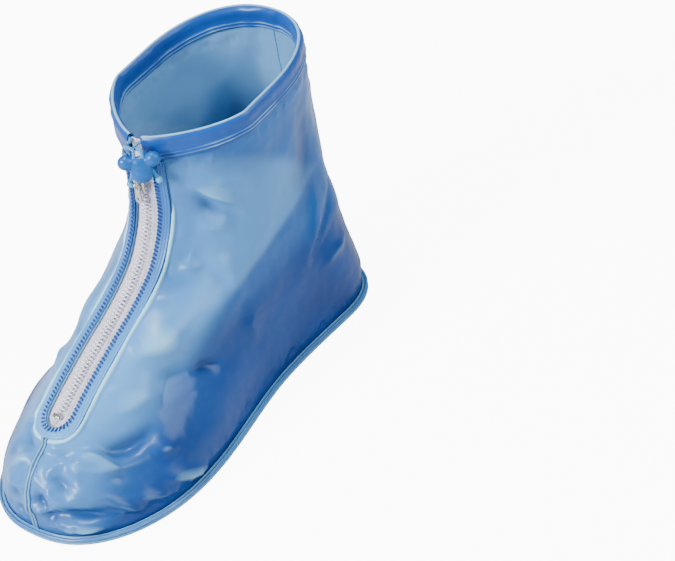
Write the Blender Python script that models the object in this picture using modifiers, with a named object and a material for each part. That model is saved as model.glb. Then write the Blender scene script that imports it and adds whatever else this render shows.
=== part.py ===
"""Rain and work shoe cover of flexible PVC with a front zip and a drawcord collar.

Metres, +Z up, +X towards the toe, +Y towards the wearer's left. The origin is
under the middle of the sole. The walls are a shell through level sections,
read from a short table, and each main fold is one row of a second table.
"""

import math

import bmesh
import bpy
import numpy as np
from mathutils import Matrix, Vector

# Driving sizes of the cover.
SOLE_LENGTH = 0.300
HALF_WIDTH = 0.069
BACK_HEIGHT = 0.2020
FRONT_HEIGHT = 0.191
WALL = 0.0012
GAP = 0.0003
BENT_GAP = 0.0006
MERGE_DISTANCE = 0.00002

# Sole and the margin where the walls are welded to it.
SOLE_THICKNESS = 0.002
WELD_MARGIN = 0.004
WELD_INNER = 0.003
OUTLINE_COUNT = 34
FLANGE_THICKNESS = 0.0012
WALL_FOOT = SOLE_THICKNESS + GAP + FLANGE_THICKNESS + GAP

# Collar hem, folded over the top of the walls, and its drawcord.
HEM_HEIGHT = 0.016
HEM_THICKNESS = 0.0010
CORD_ROOM = 0.0005
HEM_END = 0.005
WALL_TOP_DROP = 0.0085
CORD_RADIUS = 0.0011
CORD_DROP = 0.0042
CHANNEL_ABOVE = 0.0014
CHANNEL_BELOW = 0.0012
CROWN_SHARE = 0.62
CROWN_DROP = 0.0006
INNER_SHORT = 0.001
CORD_CLEAR_OF_END = 0.0008

# Zip along the instep, measured down the front centre line from the rim.
ZIP_HALF_OPENING = 0.0090
ZIP_LENGTH = 0.199
TAPE_THICKNESS = 0.0006
TAPE_OVERLAP = 0.0030
TAPE_INNER = 0.0009
TAPE_TOP = 0.003
TAPE_TAIL = 0.002
COIL_HALF_WIDTH = 0.0022
COIL_RADIUS = 0.0013
COIL_PROFILE = ((-1.0, 1.0), (-0.6, 0.3), (0.0, 0.0), (0.6, 0.3), (1.0, 1.0))
COIL_CLEAR_OF_STOP = 0.001
TAPE_ROWS = 24
COIL_ROWS = 26
FACING_WIDTH = 0.0068
FACING_THICKNESS = 0.0008
FACING_SQUARENESS = 2.2
FACING_START = 0.001

# Weld strips over the centre seams.
SEAM_WIDTH = 0.0046
SEAM_THICKNESS = 0.0007
SEAM_FOOT = 0.002

# Slider, pull and stops.
SLIDER_DROP = 0.0320
SLIDER_WIDTH = 0.0088
SLIDER_LENGTH = 0.0100
SLIDER_PLATE = 0.0011
SLIDER_BACK_SHARE = 0.68
BAIL_SINK = 0.25
WEDGE_WIDTH = 0.0011
WEDGE_LENGTH = 0.0034
BAIL_RADIUS = 0.0020
BAIL_WIRE = 0.0006
PIVOT_HEIGHT = 0.0014
PULL_LENGTH = 0.0125
PULL_WIDTH = 0.0052
PULL_THICKNESS = 0.0010
PULL_TOP = 0.0007
EYE_HALF_WIDTH = 0.0010
EYE_TOP = 0.0009
EYE_BOTTOM = 0.0031
PULL_HOLE_RADIUS = 0.0012
PULL_SHOULDER = 0.62
PULL_WAIST = 0.8
PULL_WAIST_DROP = 0.3
STOP_WIDTH = 0.0058
STOP_LENGTH = 0.0030
STOP_RISE = 0.0090
STOP_DEPTH = 0.0022
STOP_ROUNDING = 0.0004

# Cord lock: three rounded lobes, turned towards the wearer's left.
LOCK_CENTRE = (-0.0020, 0.0110, 0.1785)
LOCK_TURN = math.radians(38.0)
LOBE_RADIUS = 0.0049
LOBE_SPREAD = 0.0084
CORD_CLEARANCE = 0.0004

# Lobes of the lock in its own directions: middle, then half sizes, both as
# across, front and up.
LOCK_LOBES = (
    ((0.0, 0.0, 0.0010), (0.0074, 0.0040, 0.0058)),
    ((0.0, 0.0006, -0.0052), (0.0068, 0.0052, 0.0060)),
    ((LOBE_SPREAD, 0.0, 0.0038), (LOBE_RADIUS, 0.0042, LOBE_RADIUS)),
    ((-LOBE_SPREAD, 0.0, 0.0038), (LOBE_RADIUS, 0.0042, LOBE_RADIUS)),
)

# Left front run of the cord: two steps off the hem's end, then places through
# the lock in its own directions. The right run mirrors them.
CORD_STEPS_OUT = ((0.0026, -0.0010, -0.0002), (0.0060, -0.0006, -0.0006))
CORD_IN_LOCK = (
    (0.0023, -0.0016, 0.0096),
    (0.0026, 0.0, 0.0062),
    (0.0046, 0.0, 0.0004),
    (0.0066, 0.0, -0.0056),
    (0.0080, 0.0006, -0.0088),
)

# Beads on the cord's ends: distance from the end and radius.
BEAD_PROFILE = (
    (0.0, 0.0015), (0.0008, 0.0021), (0.0026, 0.0022), (0.0036, 0.0017), (0.0040, 0.0010)
)
BEAD_SIDES = 12

# Mesh of the walls.
ROWS_BELOW_ZIP = 0.35
ROWS_AT_MOUTH = (0.12, 0.5, 1.0)
NORMAL_STEP = 0.0006
LEVEL_STEP = 0.004
WALL_COLUMNS = 28
WALL_ROWS = 21
HEM_COLUMNS = 20
DENSE = 500

# Level sections of the shell. Levels are shares of the height, and lengths
# are shares of the sole length (back, front, heel_round, toe_round) or of the
# half width (heel, waist, ball). The two powers say how square the ends are.
SECTION_COLUMNS = (
    "level", "back", "front", "heel", "waist", "ball",
    "heel_round", "toe_round", "heel_power", "toe_power",
)
SECTIONS = (
    (0.00, 0.0135, 0.9865, 0.70, 0.71, 0.94, 0.15, 0.29, 2.6, 2.42),
    (0.06, 0.008, 0.987, 0.72, 0.72, 0.94, 0.15, 0.29, 2.5, 2.32),
    (0.12, 0.010, 0.983, 0.73, 0.73, 0.91, 0.15, 0.29, 2.5, 2.10),
    (0.18, 0.013, 0.965, 0.73, 0.73, 0.83, 0.16, 0.30, 2.4, 2.04),
    (0.24, 0.016, 0.915, 0.72, 0.72, 0.73, 0.16, 0.31, 2.4, 1.96),
    (0.30, 0.019, 0.856, 0.71, 0.71, 0.68, 0.16, 0.32, 2.3, 1.92),
    (0.36, 0.021, 0.790, 0.70, 0.70, 0.69, 0.16, 0.32, 2.3, 1.90),
    (0.42, 0.022, 0.712, 0.69, 0.70, 0.73, 0.16, 0.31, 2.2, 1.90),
    (0.48, 0.022, 0.628, 0.68, 0.70, 0.72, 0.17, 0.29, 2.2, 1.92),
    (0.55, 0.021, 0.557, 0.67, 0.69, 0.70, 0.18, 0.27, 2.2, 1.92),
    (0.63, 0.020, 0.513, 0.67, 0.70, 0.70, 0.19, 0.25, 2.2, 1.86),
    (0.72, 0.018, 0.485, 0.69, 0.72, 0.72, 0.20, 0.23, 2.2, 1.75),
    (0.82, 0.015, 0.474, 0.72, 0.74, 0.74, 0.21, 0.20, 2.2, 1.62),
    (0.91, 0.012, 0.467, 0.74, 0.75, 0.75, 0.21, 0.17, 2.2, 1.50),
    (1.00, 0.010, 0.460, 0.76, 0.765, 0.765, 0.21, 0.15, 2.15, 1.42),
)
STATIONS = {"heel": 0.12, "waist": 0.38, "ball": 0.68, "toe": 1.00}
TOE_WIDTH_SHARE = 0.98

# Main folds. Places are shares of the way round a section from the front
# edge (0) to the back seam (1) and of the height; width and depth are metres,
# and a negative depth is a valley. Sag bends the fold's middle down.
FOLD_COLUMNS = (
    "start_round", "start_level", "end_round", "end_level", "width", "depth", "sag"
)
FOLDS_LEFT = (
    (0.16, 0.88, 0.13, 0.30, 0.0070, 0.0034, 0.00),
    (0.27, 0.86, 0.22, 0.42, 0.0110, -0.0031, 0.00),
    (0.36, 0.66, 0.17, 0.30, 0.0100, 0.0036, 0.03),
    (0.62, 0.88, 0.70, 0.34, 0.0160, -0.0048, 0.00),
    (0.80, 0.80, 0.60, 0.24, 0.0120, 0.0039, 0.00),
    (0.52, 0.52, 0.26, 0.26, 0.0120, -0.0036, 0.04),
    (0.46, 0.30, 0.20, 0.13, 0.0100, 0.0036, 0.02),
    (0.92, 0.55, 0.76, 0.12, 0.0110, -0.0036, 0.00),
    (0.34, 0.22, 0.10, 0.12, 0.0080, -0.0031, 0.01),
    (0.88, 0.90, 0.90, 0.45, 0.0090, 0.0031, 0.00),
    (0.60, 0.18, 0.44, 0.10, 0.0080, 0.0028, 0.00),
)
FOLDS_RIGHT = (
    (0.14, 0.86, 0.12, 0.32, 0.0070, 0.0036, 0.00),
    (0.24, 0.84, 0.20, 0.40, 0.0100, -0.0031, 0.00),
    (0.40, 0.76, 0.30, 0.36, 0.0130, 0.0036, 0.03),
    (0.66, 0.84, 0.60, 0.38, 0.0140, -0.0045, 0.00),
    (0.84, 0.74, 0.66, 0.26, 0.0120, 0.0036, 0.00),
    (0.50, 0.46, 0.24, 0.24, 0.0110, -0.0036, 0.03),
    (0.44, 0.26, 0.22, 0.14, 0.0100, 0.0034, 0.02),
    (0.94, 0.50, 0.80, 0.14, 0.0110, -0.0034, 0.00),
    (0.32, 0.20, 0.12, 0.12, 0.0080, -0.0028, 0.01),
    (0.90, 0.90, 0.92, 0.50, 0.0090, 0.0028, 0.00),
)

# Where the folds fade out: lengths from the facing, the centre seams, the foot
# and the hem, and how a fold's two ends taper.
FACING_CLEARANCE = 0.003
FADE_BELOW_ZIP = 0.026
FADE_AT_ZIP = 0.014
FADE_AT_EDGE = 0.012
HEM_CLEARANCE = 0.002
FOLD_STEPS = 13
FOLD_END = 0.04
FOLD_TAPER = 0.6

# Looks: base colour, roughness, metallic.
PVC_BLUE = (0.13, 0.36, 0.66)
PVC_DEEP = (0.08, 0.27, 0.58)
SOLE_PALE = (0.55, 0.66, 0.76)
TAPE_WHITE = (0.80, 0.76, 0.80)
LOCK_BLUE = (0.06, 0.42, 0.78)
CORD_BLUE = (0.28, 0.58, 0.80)
ZIP_METAL = (0.62, 0.61, 0.60)


def smooth(at, xs, ys):
    """A smooth curve through the rows of a table, read at one or many places."""
    xs, ys = np.asarray(xs, float), np.asarray(ys, float)
    at = np.clip(at, xs[0], xs[-1])
    slopes = np.gradient(ys, xs)
    i = np.clip(np.searchsorted(xs, at, side="right") - 1, 0, len(xs) - 2)
    step = xs[i + 1] - xs[i]
    t = (at - xs[i]) / step
    return (
        ys[i] * (1 + 2 * t) * (1 - t) ** 2
        + slopes[i] * step * t * (1 - t) ** 2
        + ys[i + 1] * t**2 * (3 - 2 * t)
        + slopes[i + 1] * step * t**2 * (t - 1)
    )


def ramp(value):
    """0 below 0, 1 above 1 and an even rise between them."""
    value = np.clip(value, 0.0, 1.0)
    return value * value * (3 - 2 * value)


def section_numbers(level):
    """The table's columns at this level, with the lengths in metres."""
    table = np.array(SECTIONS)
    row = {}
    for index, column in enumerate(SECTION_COLUMNS[1:], start=1):
        row[column] = float(smooth(level, table[:, 0], table[:, index]))
    for column in ("back", "front", "heel_round", "toe_round"):
        row[column] *= SOLE_LENGTH
    for column in ("heel", "waist", "ball"):
        row[column] *= HALF_WIDTH
    return row


def half_section(level):
    """Dense x, y of one half of a section, from the back seam to the front."""
    row = section_numbers(level)
    turn = np.linspace(0, math.pi, DENSE)
    x = row["back"] + (row["front"] - row["back"]) * (1 - np.cos(turn)) / 2
    places = np.array([0.0, *STATIONS.values()]) * SOLE_LENGTH
    widths = [row["heel"], row["heel"], row["waist"], row["ball"], row["ball"] * TOE_WIDTH_SHARE]
    y = smooth(x, places, widths)
    heel_in = np.clip((x - row["back"]) / row["heel_round"], 0, 1)
    toe_in = np.clip((row["front"] - x) / row["toe_round"], 0, 1)
    heel_power, toe_power = row["heel_power"], row["toe_power"]
    y = y * np.clip(1 - (1 - heel_in) ** heel_power, 0, 1) ** (1 / heel_power)
    y = y * np.clip(1 - (1 - toe_in) ** toe_power, 0, 1) ** (1 / toe_power)
    return x - SOLE_LENGTH / 2, y


def height_at(x, level):
    """Height of a level at this place: the rim falls a little to the front."""
    share = np.clip((x + SOLE_LENGTH / 2) / (SECTIONS[-1][2] * SOLE_LENGTH), 0, 1)
    rim = BACK_HEIGHT + (FRONT_HEIGHT - BACK_HEIGHT) * share
    return WALL_FOOT + level * (rim - WALL_FOOT)


def section_points(level, front_cut, rear_cut, count):
    """Evenly spaced points of the left half, back to front, cut at two y values."""
    x, y = half_section(level)
    peak = int(np.argmax(y))
    start = np.interp(rear_cut, y[: peak + 1], np.arange(peak + 1))
    end = np.interp(-front_cut, -y[peak:], np.arange(peak, DENSE))
    index = np.arange(DENSE)
    dense = np.linspace(start, end, 2 * DENSE)
    px, py = np.interp(dense, index, x), np.interp(dense, index, y)
    along = np.concatenate([[0], np.cumsum(np.hypot(np.diff(px), np.diff(py)))])
    even = np.linspace(0, along[-1], count)
    px, py = np.interp(even, along, px), np.interp(even, along, py)
    return np.stack([px, py, height_at(px, level)], axis=-1)


def centre_line():
    """Levels and x, z down the front centre line, and the length from the rim."""
    levels = np.linspace(1, 0, 200)
    x = np.array([section_numbers(v)["front"] for v in levels]) - SOLE_LENGTH / 2
    z = height_at(x, levels)
    along = np.concatenate([[0], np.cumsum(np.hypot(np.diff(x), np.diff(z)))])
    return levels, along


CENTRE_LEVELS, CENTRE_ALONG = centre_line()


def level_at(drop):
    """Level of the point this far down the front centre line from the rim."""
    return np.interp(drop, CENTRE_ALONG, CENTRE_LEVELS)


def drop_at(level):
    """Length down the front centre line from the rim to this level."""
    return np.interp(-np.asarray(level, float), -CENTRE_LEVELS, CENTRE_ALONG)


def end_point(end, y, level):
    """Point of the shell at this y on its front or back end."""
    x, width = half_section(level)
    peak = int(np.argmax(width))
    if end == "front":
        px = np.interp(-abs(y), -width[peak:], x[peak:])
    else:
        px = np.interp(abs(y), width[: peak + 1], x[: peak + 1])
    return np.array([px, y, height_at(px, level)])


def end_surface(end, y, level, offset):
    """Point this far outside the shell's front or back end."""
    here = end_point(end, y, level)
    low, high = max(level - LEVEL_STEP, 0.0), min(level + LEVEL_STEP, 1.0)
    across = end_point(end, y + NORMAL_STEP, level) - end_point(end, y - NORMAL_STEP, level)
    upward = end_point(end, y, high) - end_point(end, y, low)
    normal = np.cross(across, upward)
    if end == "back":
        normal = -normal
    return here + normal / np.linalg.norm(normal) * offset


def front_cut_at(level):
    """Half width of the opening at this level; its lower end is rounded."""
    above_end = ZIP_LENGTH - float(drop_at(level))
    if above_end <= 0:
        return BENT_GAP / 2
    reach = min(above_end / ZIP_HALF_OPENING, 1.0)
    return max(ZIP_HALF_OPENING * math.sqrt(1 - (1 - reach) ** 2), BENT_GAP / 2)


def grid_normals(points):
    """Unit normals of a grid of points, by its two directions."""
    along = np.gradient(points, axis=1)
    upward = np.gradient(points, axis=0)
    normal = np.cross(along, upward)
    return normal / np.linalg.norm(normal, axis=-1, keepdims=True)


def fold_depth(points, levels, folds):
    """How far each point of a wall is pushed out by the folds."""
    rows, columns = points.shape[:2]
    pushed = np.zeros((rows, columns))
    for row in folds:
        fold = dict(zip(FOLD_COLUMNS, row))
        share = np.linspace(0, 1, FOLD_STEPS)
        round_ = fold["start_round"] + (fold["end_round"] - fold["start_round"]) * share
        level = fold["start_level"] + (fold["end_level"] - fold["start_level"]) * share
        level = level - fold["sag"] * np.sin(math.pi * share)
        row_at = np.interp(level, levels, np.arange(rows))
        column_at = (1 - round_) * (columns - 1)
        low = np.clip(row_at.astype(int), 0, rows - 2)
        left = np.clip(column_at.astype(int), 0, columns - 2)
        up, right = (row_at - low)[:, None], (column_at - left)[:, None]
        path = (
            points[low, left] * (1 - up) * (1 - right)
            + points[low + 1, left] * up * (1 - right)
            + points[low, left + 1] * (1 - up) * right
            + points[low + 1, left + 1] * up * right
        )
        nearest = np.full((rows, columns), np.inf)
        strength = np.zeros((rows, columns))
        for part in range(len(share) - 1):
            a, b = path[part], path[part + 1]
            t = np.clip(((points - a) @ (b - a)) / ((b - a) @ (b - a)), 0, 1)
            gap = np.linalg.norm(points - (a + t[..., None] * (b - a)), axis=-1)
            closer = gap < nearest
            nearest = np.where(closer, gap, nearest)
            reach = np.clip((part + t) / (len(share) - 1), FOLD_END, 1 - FOLD_END)
            strength = np.where(closer, np.sin(math.pi * reach) ** FOLD_TAPER, strength)
        pushed += fold["depth"] * strength * np.exp(-((nearest / fold["width"]) ** 2))
    return pushed


def edge_mask(points, levels, cuts):
    """1 inside a wall and 0 where it meets another piece."""
    step = np.linalg.norm(np.diff(points, axis=1), axis=-1)
    from_back = np.concatenate([np.zeros((len(points), 1)), np.cumsum(step, axis=1)], axis=1)
    from_centre = from_back[:, -1:] - from_back + cuts[:, None]
    drop = drop_at(levels)[:, None]
    at_zip = ramp((ZIP_LENGTH + FADE_BELOW_ZIP - drop) / FADE_AT_EDGE)
    facing_edge = ZIP_HALF_OPENING + FACING_WIDTH + FACING_CLEARANCE
    held = SEAM_WIDTH + (facing_edge - SEAM_WIDTH) * at_zip
    front = ramp((from_centre - held) / FADE_AT_ZIP)
    rear = ramp((from_back - SEAM_WIDTH) / FADE_AT_EDGE)
    above_foot = points[..., 2] - WALL_FOOT
    below_hem = FRONT_HEIGHT - HEM_HEIGHT - HEM_CLEARANCE - points[..., 2]
    return front * rear * ramp(above_foot / FADE_AT_EDGE) * ramp(below_hem / FADE_AT_EDGE)


def wall_points(side, folds, columns, rows):
    """Grid of one wall's outer face, foot to top and back to front."""
    top = 1 - WALL_TOP_DROP / FRONT_HEIGHT
    end = float(level_at(ZIP_LENGTH))
    mouth = level_at(ZIP_LENGTH - ZIP_HALF_OPENING * np.array(ROWS_AT_MOUTH))
    below = round(rows * ROWS_BELOW_ZIP)
    share = np.linspace(0, 1, rows - below - 2)
    by_level = mouth[-1] + (top - mouth[-1]) * share
    by_drop = level_at(drop_at(mouth[-1]) + (WALL_TOP_DROP - drop_at(mouth[-1])) * share)
    upper = (by_level + by_drop) / 2
    levels = np.concatenate([np.linspace(0, end, below), mouth[:-1], upper])
    cuts = np.array([front_cut_at(v) for v in levels])
    points = np.stack([section_points(v, cut, BENT_GAP / 2, columns) for v, cut in zip(levels, cuts)])
    outward = -grid_normals(points)
    pushed = fold_depth(points, levels, folds) * edge_mask(points, levels, cuts)
    points = points + outward * pushed[..., None]
    points[..., 1] *= side
    return points


def new_object(name, mesh, material):
    """Link a mesh to the cover's collection with its material."""
    body = bpy.data.objects.new(name, mesh)
    COVER.objects.link(body)
    mesh.materials.clear()
    mesh.materials.append(material)
    return body


def material(name, colour, roughness, metallic=0.0):
    """A plain material of the piece's own."""
    made = bpy.data.materials.new(name)
    made.use_nodes = True
    shader = made.node_tree.nodes["Principled BSDF"]
    shader.inputs["Base Color"].default_value = (*colour, 1.0)
    shader.inputs["Roughness"].default_value = roughness
    shader.inputs["Metallic"].default_value = metallic
    return made


def loft(name, points, thickness, made_of, turned=False):
    """A shell through a grid of points, thickened to its inner side."""
    rows, columns = points.shape[:2]
    shape = bmesh.new()
    verts = [[shape.verts.new(p) for p in line] for line in points]
    for row in range(rows - 1):
        for column in range(columns - 1):
            corners = [
                verts[row][column],
                verts[row][column + 1],
                verts[row + 1][column + 1],
                verts[row + 1][column],
            ]
            if turned:
                corners.reverse()
            shape.faces.new(corners)
    mesh = bpy.data.meshes.new(name)
    shape.to_mesh(mesh)
    shape.free()
    mesh.shade_smooth()
    body = new_object(name, mesh, made_of)
    thicken = body.modifiers.new("Thickness", "SOLIDIFY")
    thicken.thickness = thickness
    thicken.offset = -1.0
    return body


def flat_outline(name, loops, thickness, bottom, made_of):
    """A flat plate between closed outlines, standing at this height."""
    curve = bpy.data.curves.new(name, "CURVE")
    curve.dimensions = "2D"
    curve.fill_mode = "BOTH"
    curve.extrude = thickness / 2
    for loop in loops:
        spline = curve.splines.new("POLY")
        spline.points.add(len(loop) - 1)
        for point, (x, y) in zip(spline.points, loop):
            point.co = (x, y, 0, 1)
        spline.use_cyclic_u = True
    body = bpy.data.objects.new(name, curve)
    body.location = (0, 0, bottom + thickness / 2)
    return curve_to_mesh(body, made_of)


def curve_to_mesh(body, made_of):
    """The mesh object of a curve, with its caps welded and the curve removed."""
    COVER.objects.link(body)
    bpy.context.view_layer.update()
    graph = bpy.context.evaluated_depsgraph_get()
    mesh = bpy.data.meshes.new_from_object(body.evaluated_get(graph))
    shape = bmesh.new()
    shape.from_mesh(mesh)
    bmesh.ops.remove_doubles(shape, verts=shape.verts, dist=MERGE_DISTANCE)
    shape.to_mesh(mesh)
    shape.free()
    name, placed = body.name, body.matrix_world.copy()
    curve = body.data
    bpy.data.objects.remove(body)
    bpy.data.curves.remove(curve)
    solid = new_object(name, mesh, made_of)
    solid.matrix_world = placed
    return solid


def tube(name, route, radius, made_of, resolution=2):
    """A round cord or wire along a route, with filled ends."""
    curve = bpy.data.curves.new(name, "CURVE")
    curve.dimensions = "3D"
    curve.bevel_depth = radius
    curve.bevel_resolution = resolution
    curve.use_fill_caps = True
    spline = curve.splines.new("POLY")
    spline.points.add(len(route) - 1)
    for point, place in zip(spline.points, route):
        point.co = (*place, 1)
    solid = curve_to_mesh(bpy.data.objects.new(name, curve), made_of)
    solid.data.shade_smooth()
    return solid


def combine(body, other, operation):
    """Join another solid to a body, or cut it away, and remove it."""
    change = body.modifiers.new(operation.title(), "BOOLEAN")
    change.operation = operation
    change.solver = "EXACT"
    change.object = other
    bpy.context.view_layer.update()
    graph = bpy.context.evaluated_depsgraph_get()
    mesh = bpy.data.meshes.new_from_object(body.evaluated_get(graph))
    body.modifiers.clear()
    body.data = mesh
    bpy.data.objects.remove(other)
    return body


def outline_loop(margin, half_count):
    """Closed outline of the walls' foot, moved out by a margin."""
    left = section_points(0.0, 0.0, 0.0, half_count)[:, :2]
    loop = np.concatenate([left, (left * (1, -1))[-2:0:-1]])
    ahead = np.roll(loop, -1, axis=0) - np.roll(loop, 1, axis=0)
    outward = np.stack([-ahead[:, 1], ahead[:, 0]], axis=-1)
    outward /= np.linalg.norm(outward, axis=-1, keepdims=True)
    return loop + outward * margin


def build_sole():
    """Flat sole, and over its edge the ring where the walls are welded on."""
    made_of = material("sole_pvc", SOLE_PALE, 0.45)
    outer = outline_loop(WELD_MARGIN, OUTLINE_COUNT)
    flat_outline("sole", [outer], SOLE_THICKNESS, 0.0, made_of)
    ring_of = material("weld_flange_pvc", PVC_BLUE, 0.35)
    inner = outline_loop(-WELD_INNER, OUTLINE_COUNT)
    above_sole = SOLE_THICKNESS + GAP
    flat_outline("weld_flange", [outer, inner], FLANGE_THICKNESS, above_sole, ring_of)


def build_walls():
    """The two side walls, mirrored, each with its own folds."""
    sides = (("side_panel_left", 1, FOLDS_LEFT), ("side_panel_right", -1, FOLDS_RIGHT))
    for name, side, folds in sides:
        made_of = material(name + "_pvc", PVC_BLUE, 0.30)
        points = wall_points(side, folds, WALL_COLUMNS, WALL_ROWS)
        loft(name, points, WALL, made_of, turned=side > 0)


def build_seams():
    """Weld strips over the heel seam and over the toe seam below the zip."""
    half = SEAM_WIDTH / 2
    across = (-half, 0.0, half)
    foot = SEAM_FOOT / FRONT_HEIGHT
    top = 1 - (HEM_HEIGHT + GAP + SEAM_FOOT) / BACK_HEIGHT
    offset = GAP + SEAM_THICKNESS
    heel_levels = np.linspace(foot, top, 18)
    heel = np.array([[end_surface("back", y, v, offset) for y in across] for v in heel_levels])
    loft("heel_seam", heel, SEAM_THICKNESS, material("heel_seam_pvc", PVC_DEEP, 0.3), turned=True)
    start = ZIP_LENGTH + FACING_WIDTH + SEAM_FOOT
    toe_levels = np.linspace(foot, float(level_at(start)), 9)
    toe = np.array([[end_surface("front", y, v, offset) for y in across] for v in toe_levels])
    loft("toe_seam", toe, SEAM_THICKNESS, material("toe_seam_pvc", PVC_DEEP, 0.3))


def hem_profile():
    """Outer face of the folded hem: how far out from the wall and how far down."""
    outer = BENT_GAP + HEM_THICKNESS
    inner = -(WALL + BENT_GAP + HEM_THICKNESS)
    middle = -WALL / 2
    bulge = CORD_RADIUS + CORD_ROOM + HEM_THICKNESS
    return (
        (outer, HEM_HEIGHT),
        (outer, HEM_HEIGHT / 2),
        (middle + bulge, CORD_DROP + CHANNEL_BELOW),
        (middle + bulge, CORD_DROP - CHANNEL_ABOVE),
        (middle + bulge * CROWN_SHARE, CROWN_DROP),
        (middle, 0.0),
        (middle - bulge * CROWN_SHARE, CROWN_DROP),
        (middle - bulge, CORD_DROP - CHANNEL_ABOVE),
        (middle - bulge, CORD_DROP + CHANNEL_BELOW),
        (inner, HEM_HEIGHT / 2),
        (inner, HEM_HEIGHT - INNER_SHORT),
    )


def rim_line(out, down, front_cut, half_count):
    """Line round the collar, right front to left front, off the wall's face."""
    level = 1 - down / FRONT_HEIGHT
    left = section_points(level, front_cut, 0.0, half_count)
    line = np.concatenate([(left * (1, -1, 1))[::-1], left[1:]])
    ahead = np.gradient(line[:, :2], axis=0)
    outward = np.stack([-ahead[:, 1], ahead[:, 0]], axis=-1)
    outward /= np.linalg.norm(outward, axis=-1, keepdims=True)
    line[:, :2] += outward * out
    return line


def build_hem():
    """Folded channel over the walls' top, open at its two front ends."""
    points = np.array([rim_line(out, down, HEM_END, HEM_COLUMNS) for out, down in hem_profile()])
    loft("collar_hem", points, HEM_THICKNESS, material("collar_hem_pvc", PVC_DEEP, 0.3), turned=True)


def lock_place(across, front, up):
    """A point given in the lock's own directions."""
    turned = Matrix.Rotation(LOCK_TURN, 4, "Z") @ Vector((front, across, up))
    return np.array(Vector(LOCK_CENTRE) + turned)


def cord_routes():
    """The cord's line in the hem, and its two front runs through the lock."""
    inside = rim_line(-WALL / 2, CORD_DROP, HEM_END - CORD_CLEAR_OF_END, HEM_COLUMNS)
    runs = []
    for side in (1, -1):
        end = inside[-1] if side > 0 else inside[0]
        run = [end + (x, y * side, z) for x, y, z in CORD_STEPS_OUT]
        run += [lock_place(side * across, front, up) for across, front, up in CORD_IN_LOCK]
        runs.append(run)
    return inside, runs


def build_cord():
    """Drawcord, made whole, with a bead on each end."""
    inside, (left, right) = cord_routes()
    route = [*right[::-1], *inside, *left]
    tube("drawcord", route, CORD_RADIUS, material("drawcord_weave", CORD_BLUE, 0.6))
    for name, run in (("cord_end_left", left), ("cord_end_right", right)):
        bead_of = material(name + "_plastic", CORD_BLUE, 0.35)
        ahead = (run[-1] - run[-2]) / np.linalg.norm(run[-1] - run[-2])
        start = run[-1] + ahead * GAP
        shape = bmesh.new()
        rings = []
        turn = Vector(ahead).to_track_quat("Z", "Y").to_matrix().to_4x4()
        for step, radius in BEAD_PROFILE:
            where = Matrix.Translation(start + ahead * step) @ turn
            made = bmesh.ops.create_circle(
                shape, cap_ends=False, radius=radius, segments=BEAD_SIDES, matrix=where
            )
            rings.append(made["verts"])
        for lower, upper in zip(rings, rings[1:]):
            edges = [e for e in shape.edges if all(v in lower for v in e.verts)]
            edges += [e for e in shape.edges if all(v in upper for v in e.verts)]
            bmesh.ops.bridge_loops(shape, edges=edges)
        bmesh.ops.holes_fill(shape, edges=shape.edges, sides=BEAD_SIDES)
        bmesh.ops.recalc_face_normals(shape, faces=shape.faces)
        mesh = bpy.data.meshes.new(name)
        shape.to_mesh(mesh)
        shape.free()
        mesh.shade_smooth()
        new_object(name, mesh, bead_of)


def ball(name, centre, radii, segments=14, rings=8):
    """A rounded lobe in the lock's directions, as an object."""
    shape = bmesh.new()
    bmesh.ops.create_uvsphere(shape, u_segments=segments, v_segments=rings, radius=1.0)
    across, front, up = radii
    bmesh.ops.scale(shape, verts=shape.verts, vec=(front, across, up))
    bmesh.ops.rotate(shape, verts=shape.verts, matrix=Matrix.Rotation(LOCK_TURN, 3, "Z"))
    bmesh.ops.translate(shape, verts=shape.verts, vec=Vector(lock_place(*centre)))
    mesh = bpy.data.meshes.new(name)
    shape.to_mesh(mesh)
    shape.free()
    mesh.shade_smooth()
    return new_object(name, mesh, LOCK_MATERIAL)


def build_lock():
    """Cord lock of three joined lobes with a slanting hole for each cord run."""
    lock = ball("cord_lock", *LOCK_LOBES[0])
    for centre, radii in LOCK_LOBES[1:]:
        combine(lock, ball("lobe", centre, radii), "UNION")
    _, runs = cord_routes()
    for run in runs:
        hole = tube("hole", run[2:], CORD_RADIUS + CORD_CLEARANCE, LOCK_MATERIAL)
        combine(lock, hole, "DIFFERENCE")
    return lock


def build_zip_cloth():
    """Tapes, coil, bottom stop and the U of facing round the opening."""
    tape_of = material("zip_tape_weave", TAPE_WHITE, 0.8)
    below = -(WALL + BENT_GAP)
    in_hem = np.linspace(TAPE_TOP, HEM_HEIGHT, 4)
    below_hem = np.linspace(HEM_HEIGHT + 2 * TAPE_TAIL, ZIP_LENGTH + TAPE_TAIL, TAPE_ROWS)
    drops = np.concatenate([in_hem, below_hem])
    wide = ZIP_HALF_OPENING + TAPE_OVERLAP
    for name, side in (("zip_tape_left", 1), ("zip_tape_right", -1)):
        lines = []
        for drop in drops:
            edge = HEM_END - 2 * GAP if drop <= HEM_HEIGHT else wide
            across = np.linspace(TAPE_INNER, edge, 3) * side
            level = float(level_at(drop))
            lines.append([end_surface("front", y, level, below) for y in across])
        loft(name, np.array(lines), TAPE_THICKNESS, tape_of, turned=side > 0)
    coil_start = SLIDER_DROP + SLIDER_LENGTH / 5
    coil_end = ZIP_LENGTH - STOP_RISE - COIL_CLEAR_OF_STOP
    coil_drops = np.linspace(coil_start, coil_end, COIL_ROWS)
    coil_top = below + GAP + COIL_RADIUS * 2
    lines = []
    for drop in coil_drops:
        level = float(level_at(drop))
        lines.append([
            end_surface("front", side * COIL_HALF_WIDTH, level, coil_top - fall * COIL_RADIUS)
            for side, fall in COIL_PROFILE
        ])
    coil_of = material("zip_coil_nylon", TAPE_WHITE, 0.4)
    loft("zip_coil", np.array(lines), COIL_RADIUS, coil_of, turned=True)


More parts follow.
